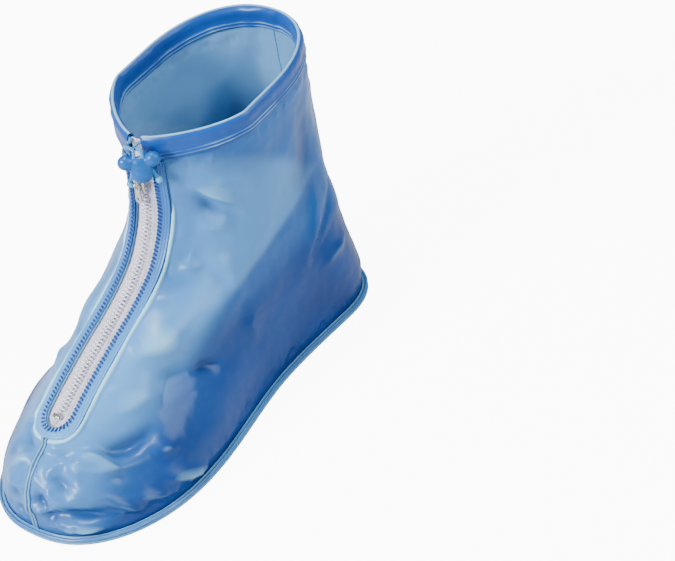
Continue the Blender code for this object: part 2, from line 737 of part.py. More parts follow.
def facing_points(offset):
    """Grid of the U-shaped facing: down one side of the zip, round and up."""
    inner = ZIP_HALF_OPENING + GAP
    start = HEM_HEIGHT + FACING_START
    straight = np.linspace(start, ZIP_LENGTH - ZIP_HALF_OPENING, 19)
    turns = np.linspace(0, math.pi, 10)[1:-1]
    lines = []
    for share in (0.0, 0.33, 0.67, 1.0):
        y = inner + FACING_WIDTH * share
        path = [(y, drop) for drop in straight]
        power = 2 / (2 + FACING_SQUARENESS * share)
        for t in turns:
            across = math.copysign(abs(math.cos(t)) ** power, math.cos(t))
            path.append((y * across, straight[-1] + y * math.sin(t) ** power))
        path += [(-y, drop) for drop in straight[::-1]]
        lines.append([end_surface("front", py, float(level_at(drop)), offset) for py, drop in path])
    return np.array(lines)


def build_facing():
    """Blue edging round the zip opening."""
    points = facing_points(BENT_GAP + FACING_THICKNESS)
    loft("zip_facing", points, FACING_THICKNESS, material("zip_facing_pvc", PVC_DEEP, 0.3))


def box(name, size, centre, made_of):
    """A box at this centre, in the zip's frame, as an object."""
    shape = bmesh.new()
    bmesh.ops.create_cube(shape, size=1.0)
    bmesh.ops.scale(shape, verts=shape.verts, vec=size)
    bmesh.ops.translate(shape, verts=shape.verts, vec=centre)
    mesh = bpy.data.meshes.new(name)
    shape.to_mesh(mesh)
    shape.free()
    return new_object(name, mesh, made_of)


def zip_frame(drop):
    """Frame on the front centre line: x out of the cover, y left, z up the zip."""
    level = float(level_at(drop))
    here = end_surface("front", 0.0, level, 0.0)
    out = end_surface("front", 0.0, level, 0.001) - here
    out = Vector(out).normalized()
    left = Vector((0, 1, 0))
    upward = out.cross(left).normalized()
    frame = Matrix((out, left, upward)).transposed().to_4x4()
    return Matrix.Translation(Vector(here)) @ frame


def build_slider():
    """Slider with its bail, and the pull that swings on it."""
    metal = material("zip_slider_metal", ZIP_METAL, 0.3, 1.0)
    frame = zip_frame(SLIDER_DROP)
    outer_face = COIL_RADIUS * 2 - WALL + GAP + SLIDER_PLATE
    inner_face = -(WALL + TAPE_THICKNESS + BENT_GAP + 2 * GAP)
    plate = (SLIDER_PLATE, SLIDER_WIDTH, SLIDER_LENGTH)
    slider = box("zip_slider", plate, (outer_face - SLIDER_PLATE / 2, 0, 0), metal)
    back_plate = (SLIDER_PLATE, SLIDER_WIDTH * SLIDER_BACK_SHARE, SLIDER_LENGTH)
    back = box("back", back_plate, (inner_face - SLIDER_PLATE / 2, 0, 0), metal)
    combine(slider, back, "UNION")
    wedge_size = (outer_face - inner_face, WEDGE_WIDTH, WEDGE_LENGTH)
    wedge_top = (SLIDER_LENGTH - WEDGE_LENGTH) / 2
    wedge = box("wedge", wedge_size, ((outer_face + inner_face) / 2, 0, wedge_top), metal)
    combine(slider, wedge, "UNION")
    pivot = outer_face + PIVOT_HEIGHT
    lean = math.asin(PIVOT_HEIGHT / BAIL_RADIUS) + BAIL_SINK
    turns = np.linspace(-lean, math.pi + lean, 11)
    arc = [(pivot + BAIL_RADIUS * math.sin(t), 0, BAIL_RADIUS * math.cos(t)) for t in turns]
    combine(slider, tube("bail", arc, BAIL_WIRE, metal), "UNION")
    slider.matrix_world = frame

    half, length = PULL_WIDTH / 2, PULL_LENGTH
    shoulder, waist = half * PULL_SHOULDER, half * PULL_WAIST
    waist_drop = -length * PULL_WAIST_DROP
    outline = [(shoulder, PULL_TOP), (-shoulder, PULL_TOP), (-waist, waist_drop)]
    rounds = np.linspace(math.pi, 2 * math.pi, 9)
    outline += [(half * math.cos(t), -length + half + half * math.sin(t)) for t in rounds]
    outline += [(waist, waist_drop)]
    corners = ((1, EYE_TOP), (1, EYE_BOTTOM), (-1, EYE_BOTTOM), (-1, EYE_TOP))
    eye = [(side * EYE_HALF_WIDTH, -drop) for side, drop in corners]
    turns = np.linspace(0, 2 * math.pi, 11)[:-1]
    radius = PULL_HOLE_RADIUS
    hole = [(radius * math.cos(t), -length + half + radius * math.sin(t)) for t in turns]
    pull_of = material("zip_pull_metal", ZIP_METAL, 0.3, 1.0)
    outlines = [outline, eye, hole]
    pull = flat_outline("zip_pull", outlines, PULL_THICKNESS, -PULL_THICKNESS / 2, pull_of)
    stand = Matrix(((0, 0, 1, 0), (1, 0, 0, 0), (0, 1, 0, 0), (0, 0, 0, 1)))
    pull.matrix_world = frame @ Matrix.Translation((pivot, 0, 0)) @ stand


def build_stops():
    """Clasp over the coil's lower end."""
    metal = material("zip_bottom_stop_metal", ZIP_METAL, 0.35, 1.0)
    frame = zip_frame(ZIP_LENGTH - STOP_RISE + STOP_LENGTH / 2)
    size = (STOP_DEPTH, STOP_WIDTH, STOP_LENGTH)
    stop = box("zip_bottom_stop", size, (COIL_RADIUS - WALL + GAP, 0, 0), metal)
    edges = stop.modifiers.new("Rounded edges", "BEVEL")
    edges.width = STOP_ROUNDING
    edges.segments = 2
    stop.matrix_world = frame


for old in list(bpy.data.objects):
    bpy.data.objects.remove(old)
COVER = bpy.data.collections.new("shoe_cover")
bpy.context.scene.collection.children.link(COVER)
LOCK_MATERIAL = material("cord_lock_plastic", LOCK_BLUE, 0.35)

build_sole()
build_walls()
build_seams()
build_hem()
build_cord()
build_lock()
build_zip_cloth()
build_facing()
build_slider()
build_stops()
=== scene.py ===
"""Looks of a zipped PVC shoe cover: fine meshes, finishes, light and camera.

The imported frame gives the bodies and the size. Each sub-assembly is a class
that builds its meshes on one shared surface, the unfolded form of the walls.
Lengths are in metres, +X points to the toe and +Y to the wearer's left.
"""

from __future__ import annotations

import logging
import math
from dataclasses import dataclass
from enum import Enum
from typing import ClassVar

import bmesh
import bpy
import numpy as np
from mathutils import Matrix, Vector

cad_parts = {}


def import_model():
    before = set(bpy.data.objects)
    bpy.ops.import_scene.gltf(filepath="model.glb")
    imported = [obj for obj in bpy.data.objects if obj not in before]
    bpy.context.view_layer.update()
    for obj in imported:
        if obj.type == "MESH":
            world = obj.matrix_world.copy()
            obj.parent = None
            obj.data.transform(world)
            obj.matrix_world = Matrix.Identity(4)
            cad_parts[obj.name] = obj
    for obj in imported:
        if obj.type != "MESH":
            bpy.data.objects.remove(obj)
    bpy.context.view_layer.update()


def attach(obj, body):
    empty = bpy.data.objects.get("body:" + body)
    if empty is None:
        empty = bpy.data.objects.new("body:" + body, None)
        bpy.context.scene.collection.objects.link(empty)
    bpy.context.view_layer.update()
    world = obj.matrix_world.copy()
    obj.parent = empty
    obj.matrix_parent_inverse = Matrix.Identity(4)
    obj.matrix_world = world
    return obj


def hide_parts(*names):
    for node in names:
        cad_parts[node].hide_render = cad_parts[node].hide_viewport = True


LOG = logging.getLogger("shoe_cover")
SAME_PLACE = 1e-6
Triple = tuple[float, float, float]
Colour = Triple

SECTION_COLUMNS = (
    "level", "back", "front", "heel", "waist", "ball",
    "heel_round", "toe_round", "heel_power", "toe_power",
)
SECTIONS = (
    (0.00, 0.0135, 0.9865, 0.70, 0.71, 0.94, 0.15, 0.29, 2.6, 2.42),
    (0.06, 0.008, 0.987, 0.72, 0.72, 0.94, 0.15, 0.29, 2.5, 2.32),
    (0.12, 0.010, 0.983, 0.73, 0.73, 0.91, 0.15, 0.29, 2.5, 2.10),
    (0.18, 0.013, 0.965, 0.73, 0.73, 0.83, 0.16, 0.30, 2.4, 2.04),
    (0.24, 0.016, 0.915, 0.72, 0.72, 0.73, 0.16, 0.31, 2.4, 1.96),
    (0.30, 0.019, 0.856, 0.71, 0.71, 0.68, 0.16, 0.32, 2.3, 1.92),
    (0.36, 0.021, 0.790, 0.70, 0.70, 0.69, 0.16, 0.32, 2.3, 1.90),
    (0.42, 0.022, 0.712, 0.69, 0.70, 0.73, 0.16, 0.31, 2.2, 1.90),
    (0.48, 0.022, 0.628, 0.68, 0.70, 0.72, 0.17, 0.29, 2.2, 1.92),
    (0.55, 0.021, 0.557, 0.67, 0.69, 0.70, 0.18, 0.27, 2.2, 1.92),
    (0.63, 0.020, 0.513, 0.67, 0.70, 0.70, 0.19, 0.25, 2.2, 1.86),
    (0.72, 0.018, 0.485, 0.69, 0.72, 0.72, 0.20, 0.23, 2.2, 1.75),
    (0.82, 0.015, 0.474, 0.72, 0.74, 0.74, 0.21, 0.20, 2.2, 1.62),
    (0.91, 0.012, 0.467, 0.74, 0.75, 0.75, 0.21, 0.17, 2.2, 1.50),
    (1.00, 0.010, 0.460, 0.76, 0.765, 0.765, 0.21, 0.15, 2.15, 1.42),
)

# One fold in each row: three places as round share and level, where the round share
# is 0 at the front and 1 at the back, then its width, depth, lean and crispness.
MAIN_FOLDS = (
    (0.103, 0.830, 0.203, 0.742, 0.360, 0.630, 0.0065, 0.0055, 0.45, 0.6),
    (0.110, 0.775, 0.200, 0.700, 0.330, 0.600, 0.0060, -0.0028, 0.0, 0.3),
    (0.100, 0.890, 0.300, 0.810, 0.600, 0.660, 0.0120, -0.0022, 0.0, 0.1),
    (0.131, 0.661, 0.204, 0.641, 0.295, 0.606, 0.0060, 0.0029, 0.4, 0.3),
    (0.090, 0.575, 0.137, 0.550, 0.187, 0.552, 0.0060, 0.0026, 0.4, 0.3),
    (0.162, 0.577, 0.288, 0.501, 0.432, 0.370, 0.0070, 0.0034, 0.3, 0.4),
    (0.432, 0.370, 0.500, 0.270, 0.540, 0.187, 0.0070, 0.0029, 0.3, 0.4),
    (0.066, 0.379, 0.140, 0.405, 0.250, 0.375, 0.0110, 0.0050, 0.4, 0.2),
    (0.150, 0.335, 0.225, 0.315, 0.310, 0.290, 0.0090, -0.0026, 0.0, 0.3),
    (0.100, 0.262, 0.140, 0.300, 0.240, 0.285, 0.0110, 0.0034, 0.3, 0.1),
    (0.100, 0.238, 0.180, 0.215, 0.250, 0.235, 0.0054, -0.0050, 0.0, 0.3),
    (0.050, 0.238, 0.127, 0.216, 0.190, 0.150, 0.0052, 0.0044, -0.4, 0.5),
    (0.061, 0.231, 0.082, 0.205, 0.103, 0.168, 0.0034, 0.0021, 0.0, 0.4),
    (0.048, 0.225, 0.039, 0.209, 0.031, 0.193, 0.0034, 0.0021, 0.0, 0.4),
    (0.030, 0.189, 0.037, 0.193, 0.043, 0.198, 0.0034, 0.0021, 0.0, 0.4),
    (0.037, 0.159, 0.045, 0.171, 0.051, 0.185, 0.0034, 0.0021, 0.0, 0.4),
    (0.134, 0.183, 0.168, 0.163, 0.185, 0.144, 0.0034, -0.0021, 0.0, 0.4),
    (0.231, 0.174, 0.262, 0.165, 0.299, 0.146, 0.0050, 0.0028, 0.2, 0.4),
    (0.242, 0.106, 0.302, 0.050, 0.366, 0.010, 0.0054, 0.0045, 0.2, 0.5),
    (0.164, 0.104, 0.219, 0.070, 0.284, 0.012, 0.0047, 0.0042, 0.2, 0.5),
    (0.142, 0.108, 0.173, 0.073, 0.213, 0.023, 0.0034, 0.0034, 0.2, 0.6),
    (-0.005, 0.030, 0.090, 0.083, 0.212, 0.014, 0.0048, -0.0052, 0.0, 0.3),
    (0.030, 0.032, 0.100, 0.030, 0.177, 0.032, 0.0032, 0.0028, 0.0, 0.6),
    (0.002, 0.118, 0.019, 0.091, 0.062, 0.095, 0.0034, 0.0021, 0.0, 0.4),
    (0.008, 0.150, 0.030, 0.118, 0.075, 0.118, 0.0040, -0.0025, 0.0, 0.3),
    (-0.011, 0.044, -0.028, 0.046, -0.048, 0.041, 0.0034, 0.0021, 0.0, 0.4),
    (-0.022, 0.098, -0.004, 0.081, 0.006, 0.064, 0.0034, 0.0021, 0.0, 0.4),
    (-0.011, 0.044, -0.017, 0.030, -0.023, 0.015, 0.0034, 0.0021, 0.0, 0.4),
    (-0.060, 0.070, -0.051, 0.043, -0.021, 0.021, 0.0034, 0.0021, 0.0, 0.4),
    (-0.040, 0.070, -0.025, 0.060, -0.012, 0.055, 0.0034, -0.0021, 0.0, 0.3),
    (-0.042, 0.238, -0.036, 0.213, -0.026, 0.180, 0.0090, 0.0041, 0.0, 0.2),
    (-0.075, 0.130, -0.032, 0.147, -0.006, 0.142, 0.0035, 0.0022, 0.0, 0.4),
    (-0.070, 0.112, -0.035, 0.118, -0.006, 0.115, 0.0035, -0.0022, 0.0, 0.3),
    (-0.112, 0.239, -0.075, 0.272, -0.050, 0.280, 0.0030, 0.0022, 0.0, 0.6),
    (-0.100, 0.236, -0.070, 0.260, -0.035, 0.268, 0.0034, -0.0019, 0.0, 0.4),
    (0.815, 0.460, 0.745, 0.370, 0.690, 0.255, 0.0045, -0.0038, 0.0, 0.6),
    (0.760, 0.470, 0.700, 0.370, 0.640, 0.270, 0.0080, 0.0028, 0.0, 0.3),
    (0.850, 0.260, 0.780, 0.250, 0.720, 0.236, 0.0045, 0.0024, 0.0, 0.5),
    (0.620, 0.880, 0.660, 0.610, 0.640, 0.400, 0.0160, -0.0043, 0.0, 0.2),
    (0.880, 0.900, 0.890, 0.670, 0.900, 0.450, 0.0090, 0.0034, 0.0, 0.3),
    (-0.160, 0.860, -0.240, 0.760, -0.400, 0.660, 0.0080, 0.0038, 0.3, 0.4),
    (-0.400, 0.620, -0.350, 0.500, -0.280, 0.400, 0.0110, 0.0041, 0.2, 0.3),
    (-0.660, 0.840, -0.630, 0.610, -0.600, 0.380, 0.0140, -0.0050, 0.0, 0.3),
    (-0.840, 0.740, -0.750, 0.500, -0.660, 0.260, 0.0110, 0.0041, 0.2, 0.4),
    (-0.500, 0.460, -0.370, 0.320, -0.240, 0.240, 0.0100, -0.0041, 0.2, 0.3),
    (-0.440, 0.260, -0.330, 0.180, -0.220, 0.140, 0.0090, 0.0038, 0.2, 0.4),
    (-0.940, 0.500, -0.870, 0.320, -0.800, 0.140, 0.0100, -0.0038, 0.0, 0.3),
    (-0.300, 0.200, -0.200, 0.160, -0.120, 0.130, 0.0054, -0.0033, 0.0, 0.4),
    (-0.140, 0.330, -0.190, 0.310, -0.260, 0.300, 0.0080, 0.0036, 0.2, 0.4),
    (-0.900, 0.900, -0.910, 0.700, -0.920, 0.500, 0.0090, 0.0026, 0.0, 0.3),
    (0.000, 0.258, 0.034, 0.248, 0.074, 0.243, 0.0034, 0.0021, 0.0, 0.4),
    (-0.010, 0.236, 0.040, 0.236, 0.095, 0.236, 0.0036, -0.0022, 0.0, 0.4),
    (-0.004, 0.256, -0.035, 0.264, -0.070, 0.275, 0.0034, 0.0021, 0.0, 0.4),
    (-0.085, 0.250, -0.040, 0.240, 0.002, 0.238, 0.0034, -0.0021, 0.0, 0.4),
    (0.002, 0.235, 0.001, 0.180, 0.001, 0.100, 0.0034, -0.0018, 0.0, 0.4),
    (0.040, 0.215, 0.066, 0.180, 0.090, 0.140, 0.0060, -0.0034, 0.0, 0.3),
    (0.300, 0.285, 0.360, 0.272, 0.420, 0.235, 0.0050, -0.0040, 0.0, 0.3),
    (0.010, 0.058, 0.120, 0.052, 0.230, 0.060, 0.0036, 0.0028, 0.0, 0.6),
    (0.020, 0.110, 0.110, 0.126, 0.210, 0.105, 0.0075, 0.0026, 0.0, 0.3),
)


class Body(Enum):
    """Bodies of the frame that pieces ride on."""

    COVER = "cover"
    PULL = "pull"


class End(Enum):
    """The two ends of a section, where the walls meet."""

    FRONT = "front"
    BACK = "back"


@dataclass(frozen=True)
class ShellSizes:
    """Driving sizes of the unfolded walls."""

    length: float = 0.300
    half_width: float = 0.069
    back_height: float = 0.2020
    front_height: float = 0.191
    foot: float = 0.0038
    wall: float = 0.0008
    seam_gap: float = 0.00020
    dense: int = 500


@dataclass(frozen=True)
class ZipSizes:
    """Places down the front centre line from the rim, and widths from it."""

    half_opening: float = 0.0090
    length: float = 0.199
    tape_overlap: float = 0.0030
    tape_thickness: float = 0.0006
    tape_inner: float = 0.0002
    facing_width: float = 0.0068
    facing_thickness: float = 0.0008
    bent_gap: float = 0.0006
    slider_drop: float = 0.0320
    stop_rise: float = 0.0090


@dataclass(frozen=True)
class HemSizes:
    """The folded channel round the collar."""

    height: float = 0.016
    thickness: float = 0.0010
    end: float = 0.005
    cord_drop: float = 0.0042
    cord_radius: float = 0.0011
    cord_room: float = 0.0005
    bent_gap: float = 0.0006
    wall: float = 0.0012
    welds: tuple[float, float] = (0.0022, 0.0046)
    weld_raise: float = 0.0006


@dataclass(frozen=True)
class Fold:
    """One ridge (depth above 0) or valley along a bent path on the walls."""

    round_a: float
    level_a: float
    round_b: float
    level_b: float
    round_c: float
    level_c: float
    width: float
    depth: float
    lean: float
    crisp: float

    def path(self, count: int) -> tuple[np.ndarray, np.ndarray]:
        """Curve through the fold's three places.

        Args:
            count: How many points the path has.

        Returns:
            The signed round shares and the levels of the points.
        """
        t = np.linspace(0, 1, count)
        weights = ((1 - t) * (1 - 2 * t), 4 * t * (1 - t), t * (2 * t - 1))
        rounds = (self.round_a, self.round_b, self.round_c)
        levels = (self.level_a, self.level_b, self.level_c)
        along = sum(w * r for w, r in zip(weights, rounds))
        upward = sum(w * v for w, v in zip(weights, levels))
        return along, upward


@dataclass(frozen=True)
class Gather:
    """Folds that run out from one pinched place, in turn ridge and valley."""

    round_share: float
    level: float
    first_turn: float
    last_turn: float
    start: float
    length: float
    count: int
    width: float
    depth: float

    ROUND_LENGTH: ClassVar[float] = 0.290
    LEVEL_LENGTH: ClassVar[float] = 0.190
    LOWEST: ClassVar[float] = 0.004

    def folds(self, rng: np.random.Generator) -> list[Fold]:
        """Draw the gather's folds.

        Args:
            rng: Source of their lengths and bends.

        Returns:
            The folds.
        """
        made = []
        for number in range(self.count):
            share = (number + 0.5 + rng.uniform(-0.2, 0.2)) / self.count
            turn = math.radians(self.first_turn + (self.last_turn - self.first_turn) * share)
            reach = self.length * rng.uniform(0.55, 1.15)
            size = self.depth * (1 if number % 2 else -0.9) * rng.uniform(0.7, 1.25)
            bend = rng.uniform(-0.12, 0.12)
            first, last = self.start, self.start + reach
            middle = (self.start + reach) / 2
            places = []
            for at, swing in ((first, 0.0), (middle, bend), (last, 0.0)):
                across, up = at * math.cos(turn + swing), at * math.sin(turn + swing)
                places.append(self.round_share + across / self.ROUND_LENGTH)
                places.append(max(self.level + up / self.LEVEL_LENGTH, self.LOWEST))
            wide = self.width * rng.uniform(0.8, 1.3)
            made.append(Fold(*places, wide, size, 0.0, 0.4 if size > 0 else 0.2))
        return made


GATHERS = (
    Gather(0.004, 0.252, -78.0, -6.0, 0.004, 0.085, 6, 0.0038, 0.0017),
    Gather(-0.004, 0.252, -165.0, -110.0, 0.004, 0.045, 3, 0.0034, 0.0014),
    Gather(-0.011, 0.040, 10.0, 90.0, 0.003, 0.046, 4, 0.0032, 0.0014),
    Gather(0.215, 0.010, 130.0, 177.0, 0.003, 0.080, 4, 0.0036, 0.0015),
    Gather(0.110, 0.840, -60.0, -15.0, 0.010, 0.070, 4, 0.0050, 0.0014),
    Gather(0.690, 0.270, 20.0, 110.0, 0.006, 0.046, 5, 0.0044, 0.0015),
)


def gathers(seed: int) -> list[Fold]:
    """Folds of every pinched place, from a number that fixes what is drawn."""
    rng = np.random.default_rng(seed)
    return [fold for gather in GATHERS for fold in gather.folds(rng)]


class Edge(Enum):
    """The held edges that short wrinkles start from."""

    WELD = "weld"
    HEM = "hem"
    ZIP = "zip"


@dataclass(frozen=True)
class Wrinkles:
    """Short wrinkles of both walls, in a row along one held edge.

    Along the weld and the hem, first and last are round shares and the edge is at a
    level. Along the zip, first and last are levels and the edge is at a round share.
    """

    edge: Edge
    first: float
    last: float
    at: float
    rise: float
    width: float
    depth: float
    count: int

    def _ends(self, share: float, rng: np.random.Generator) -> tuple[tuple[float, float], ...]:
        """Both ends of a wrinkle.

        Args:
            share: How far along the edge it is.
            rng: Source of its length and slant.

        Returns:
            Round share and level of the end at the edge and of the free end.
        """
        place = self.first + (self.last - self.first) * share
        if self.edge is Edge.ZIP:
            free = (self.at + rng.uniform(0.03, 0.08), place - rng.uniform(0.0, 0.04))
            return (self.at, place), free
        length = rng.uniform(0.5, 1.2) * self.rise
        return (place, self.at), (place + rng.uniform(-0.018, 0.018), self.at + length)

    def folds(self, rng: np.random.Generator) -> list[Fold]:
        """Draw the wrinkles.

        Args:
            rng: Source of their places, lengths and sizes.

        Returns:
            The wrinkles.
        """
        made = []
        for side in (1, -1):
            for number in range(self.count):
                held, free = self._ends((number + rng.uniform(0.1, 0.9)) / self.count, rng)
                middle_round = (held[0] + free[0]) / 2 + rng.uniform(-0.004, 0.004)
                middle = (middle_round, (held[1] + free[1]) / 2)
                size = rng.uniform(0.4, 1.3) * self.depth * (1 if rng.random() < 0.6 else -1)
                wide = self.width * rng.uniform(0.7, 1.5)
                places = [v for r, level in (held, middle, free) for v in (r * side, level)]
                made.append(Fold(*places, wide, size, 0.0, 0.5))
        return made


WRINKLES = (
    Wrinkles(Edge.WELD, 0.020, 0.97, 0.010, 0.060, 0.0020, 0.0009, 44),
    Wrinkles(Edge.HEM, 0.050, 0.97, 0.905, -0.050, 0.0026, 0.0007, 30),
    Wrinkles(Edge.ZIP, 0.300, 0.900, 0.035, 0.0, 0.0018, 0.0006, 26),
)


def small_folds(seed: int) -> list[Fold]:
    """Short wrinkles along every held edge, from a number that fixes what is drawn."""
    rng = np.random.default_rng(seed)
    return [fold for row in WRINKLES for fold in row.folds(rng)]


def smooth(at: np.ndarray | float, xs: np.ndarray, ys: np.ndarray) -> np.ndarray:
    """Read a smooth curve through a table's rows.

    Args:
        at: Places to read.
        xs: The rows' places, rising.
        ys: The rows' values.

    Returns:
        The values at the places.
    """
    xs, ys = np.asarray(xs, float), np.asarray(ys, float)
    at = np.clip(at, xs[0], xs[-1])
    slopes = np.gradient(ys, xs)
    i = np.clip(np.searchsorted(xs, at, side="right") - 1, 0, len(xs) - 2)
    step = xs[i + 1] - xs[i]
    t = (at - xs[i]) / step
    return (
        ys[i] * (1 + 2 * t) * (1 - t) ** 2
        + slopes[i] * step * t * (1 - t) ** 2
        + ys[i + 1] * t**2 * (3 - 2 * t)
        + slopes[i + 1] * step * t**2 * (t - 1)
    )


def ramp(value: np.ndarray | float) -> np.ndarray:
    """Rise smoothly from 0 below 0 to 1 above 1."""
    value = np.clip(value, 0.0, 1.0)
    return value * value * (3 - 2 * value)


def ridge(at: np.ndarray | float, middle: float, width: np.ndarray | float) -> np.ndarray:
    """Rounded line across a distance, 1 at its middle."""
    return np.exp(-(((at - middle) / width) ** 2))


def lengths_along(line: np.ndarray) -> np.ndarray:
    """How far along a line each of its points is."""
    return np.concatenate([[0], np.cumsum(np.linalg.norm(np.diff(line, axis=0), axis=1))])


def nearest_on(
    spots: np.ndarray, start: np.ndarray, end: np.ndarray
) -> tuple[np.ndarray, np.ndarray]:
    """Nearest place of a straight step to each spot.

    Args:
        spots: The spots.
        start: First point of the step.
        end: Last point of the step.

    Returns:
        The place's share of the step, and its distance from the spot.
    """
    ahead = end - start
    share = np.clip(((spots - start) @ ahead) / max(ahead @ ahead, 1e-14), 0, 1)
    return share, np.linalg.norm(spots - (start + share[:, None] * ahead), axis=-1)


def read_grid(grid: np.ndarray, row: np.ndarray, column: np.ndarray) -> np.ndarray:
    """Read a grid of values or points between its rows and columns.

    Args:
        grid: The grid, with rows and columns first.
        row: Row places, which need not be whole.
        column: Column places, of the same shape.

    Returns:
        What the grid holds there.
    """
    low = np.clip(row.astype(int), 0, grid.shape[0] - 2)
    left = np.clip(column.astype(int), 0, grid.shape[1] - 2)
    up, right = row - low, column - left
    if grid.ndim > 2:
        up, right = up[..., None], right[..., None]
    return (
        grid[low, left] * (1 - up) * (1 - right)
        + grid[low + 1, left] * up * (1 - right)
        + grid[low, left + 1] * (1 - up) * right
        + grid[low + 1, left + 1] * up * right
    )


def unit(vectors: np.ndarray) -> np.ndarray:
    """Scale vectors along the last axis to length 1."""
    return vectors / np.maximum(np.linalg.norm(vectors, axis=-1, keepdims=True), 1e-12)


def swell(points: np.ndarray, length: float, seed: int) -> np.ndarray:
    """Soft irregular waves over space.

    Args:
        points: Places, with x, y and z in the last axis.
        length: Rough length of a wave.
        seed: Number that fixes the waves' directions.

    Returns:
        Values of about -1 to 1, one for each place.
    """
    rng = np.random.default_rng(seed)
    total = np.zeros(points.shape[:-1])
    bend = np.zeros(points.shape[:-1])
    for octave in range(7):
        direction = rng.normal(size=3)
        direction /= np.linalg.norm(direction)
        stride = 2 * math.pi / (length * rng.uniform(0.7, 1.5))
        total += np.sin(points @ direction * stride + rng.uniform(0, 6.28) + bend)
        bend = 1.3 * np.sin(points @ rng.normal(size=3) * stride * 0.6 + octave)
    return total / 4.0


class Shell:
    """Unfolded surface of the walls through level sections."""

    STATIONS = (0.0, 0.12, 0.38, 0.68, 1.00)
    TOE_WIDTH_SHARE = 0.98
    TABLE_LEVELS = 401
    TABLE_REACH = 0.034
    TABLE_STEPS = 171
    CENTRE_POINTS = 400

    def __init__(self, sizes: ShellSizes) -> None:
        """Work out the centre line and the tables of both ends.

        Args:
            sizes: Driving sizes of the walls.
        """
        self.sizes = sizes
        table = np.array(SECTIONS)
        self._table = {c: table[:, i] for i, c in enumerate(SECTION_COLUMNS)}
        self.centre_levels = np.linspace(1, 0, self.CENTRE_POINTS)
        x = smooth(self.centre_levels, self._table["level"], self._table["front"])
        x = x * sizes.length - sizes.length / 2
        z = self.height(x, self.centre_levels)
        steps = np.hypot(np.diff(x), np.diff(z))
        self.centre_along = np.concatenate([[0], np.cumsum(steps)])
        self._ends = self._end_tables()

    def numbers(self, level: float) -> dict[str, float]:
        """Read the section table.

        Args:
            level: Share of the height.

        Returns:
            The table's columns at this level, with the lengths in metres.
        """
        row = {
            column: float(smooth(level, self._table["level"], values))
            for column, values in self._table.items()
            if column != "level"
        }
        for column in ("back", "front", "heel_round", "toe_round"):
            row[column] *= self.sizes.length
        for column in ("heel", "waist", "ball"):
            row[column] *= self.sizes.half_width
        return row

    def half(self, level: float) -> tuple[np.ndarray, np.ndarray]:
        """Dense outline of the left half of a section.

        Args:
            level: Share of the height.

        Returns:
            Its x and y, from back to front.
        """
        row = self.numbers(level)
        turn = np.linspace(0, math.pi, self.sizes.dense)
        x = row["back"] + (row["front"] - row["back"]) * (1 - np.cos(turn)) / 2
        places = np.array(self.STATIONS) * self.sizes.length
        toe = row["ball"] * self.TOE_WIDTH_SHARE
        y = smooth(x, places, [row["heel"], row["heel"], row["waist"], row["ball"], toe])
        heel_in = np.clip((x - row["back"]) / row["heel_round"], 0, 1)
        toe_in = np.clip((row["front"] - x) / row["toe_round"], 0, 1)
        heel_power, toe_power = row["heel_power"], row["toe_power"]
        y = y * np.clip(1 - (1 - heel_in) ** heel_power, 0, 1) ** (1 / heel_power)
        y = y * np.clip(1 - (1 - toe_in) ** toe_power, 0, 1) ** (1 / toe_power)
        return x - self.sizes.length / 2, y

    def height(self, x: np.ndarray, level: np.ndarray | float) -> np.ndarray:
        """Height of a level at this x, as the rim falls a little to the front.

        Args:
            x: Places along the cover.
            level: Shares of the height.

        Returns:
            The heights.
        """
        sizes = self.sizes
        front = self._table["front"][-1] * sizes.length
        share = np.clip((x + sizes.length / 2) / front, 0, 1)
        rim = sizes.back_height + (sizes.front_height - sizes.back_height) * share
        return sizes.foot + level * (rim - sizes.foot)

    def line(self, level: float, front_cut: float, rear_cut: float, count: int) -> np.ndarray:
        """Evenly spaced points of the left half of a section.

        Args:
            level: Share of the height.
            front_cut: Half width that is open at the front.
            rear_cut: Half width that is open at the back.
            count: How many points.

        Returns:
            The points from back to front.
        """
        x, y = self.half(level)
        dense = self.sizes.dense
        peak = int(np.argmax(y))
        start = np.interp(rear_cut, y[: peak + 1], np.arange(peak + 1))
        end = np.interp(-front_cut, -y[peak:], np.arange(peak, dense))
        index = np.linspace(start, end, 2 * dense)
        px = np.interp(index, np.arange(dense), x)
        py = np.interp(index, np.arange(dense), y)
        along = np.concatenate([[0], np.cumsum(np.hypot(np.diff(px), np.diff(py)))])
        even = np.linspace(0, along[-1], count)
        px, py = np.interp(even, along, px), np.interp(even, along, py)
        return np.stack([px, py, self.height(px, level)], axis=-1)

    def level_at(self, drop: np.ndarray | float) -> np.ndarray:
        """Level of the point this far down the front centre line."""
        return np.interp(drop, self.centre_along, self.centre_levels)

    def drop_at(self, level: np.ndarray | float) -> np.ndarray:
        """Length down the front centre line to this level."""
        return np.interp(-np.asarray(level, float), -self.centre_levels, self.centre_along)

    def _end_tables(self) -> dict[End, np.ndarray]:
        """Tables for both ends, over level and distance from the centre.

        Returns:
            The tables of x.
        """
        reach = np.linspace(0, self.TABLE_REACH, self.TABLE_STEPS)
        front, back = [], []
        for level in np.linspace(0, 1, self.TABLE_LEVELS):
            x, y = self.half(float(level))
            peak = int(np.argmax(y))
            front.append(np.interp(-reach, -y[peak:], x[peak:]))
            back.append(np.interp(reach, y[: peak + 1], x[: peak + 1]))
        return {End.FRONT: np.array(front), End.BACK: np.array(back)}

    def end_point(self, end: End, y: np.ndarray, level: np.ndarray) -> np.ndarray:
        """Points of the shell near the middle of its front or back.

        Args:
            end: Which end of the sections.
            y: Signed distances from the centre plane.
            level: Shares of the height, of the same shape.

        Returns:
            The points, with x, y and z in the last axis.
        """
        row = np.clip(level, 0, 1) * (self.TABLE_LEVELS - 1)
        column = np.clip(np.abs(y) / self.TABLE_REACH, 0, 1) * (self.TABLE_STEPS - 1)
        x = read_grid(self._ends[end], row, column)
        return np.stack([x, y, self.height(x, level)], axis=-1)

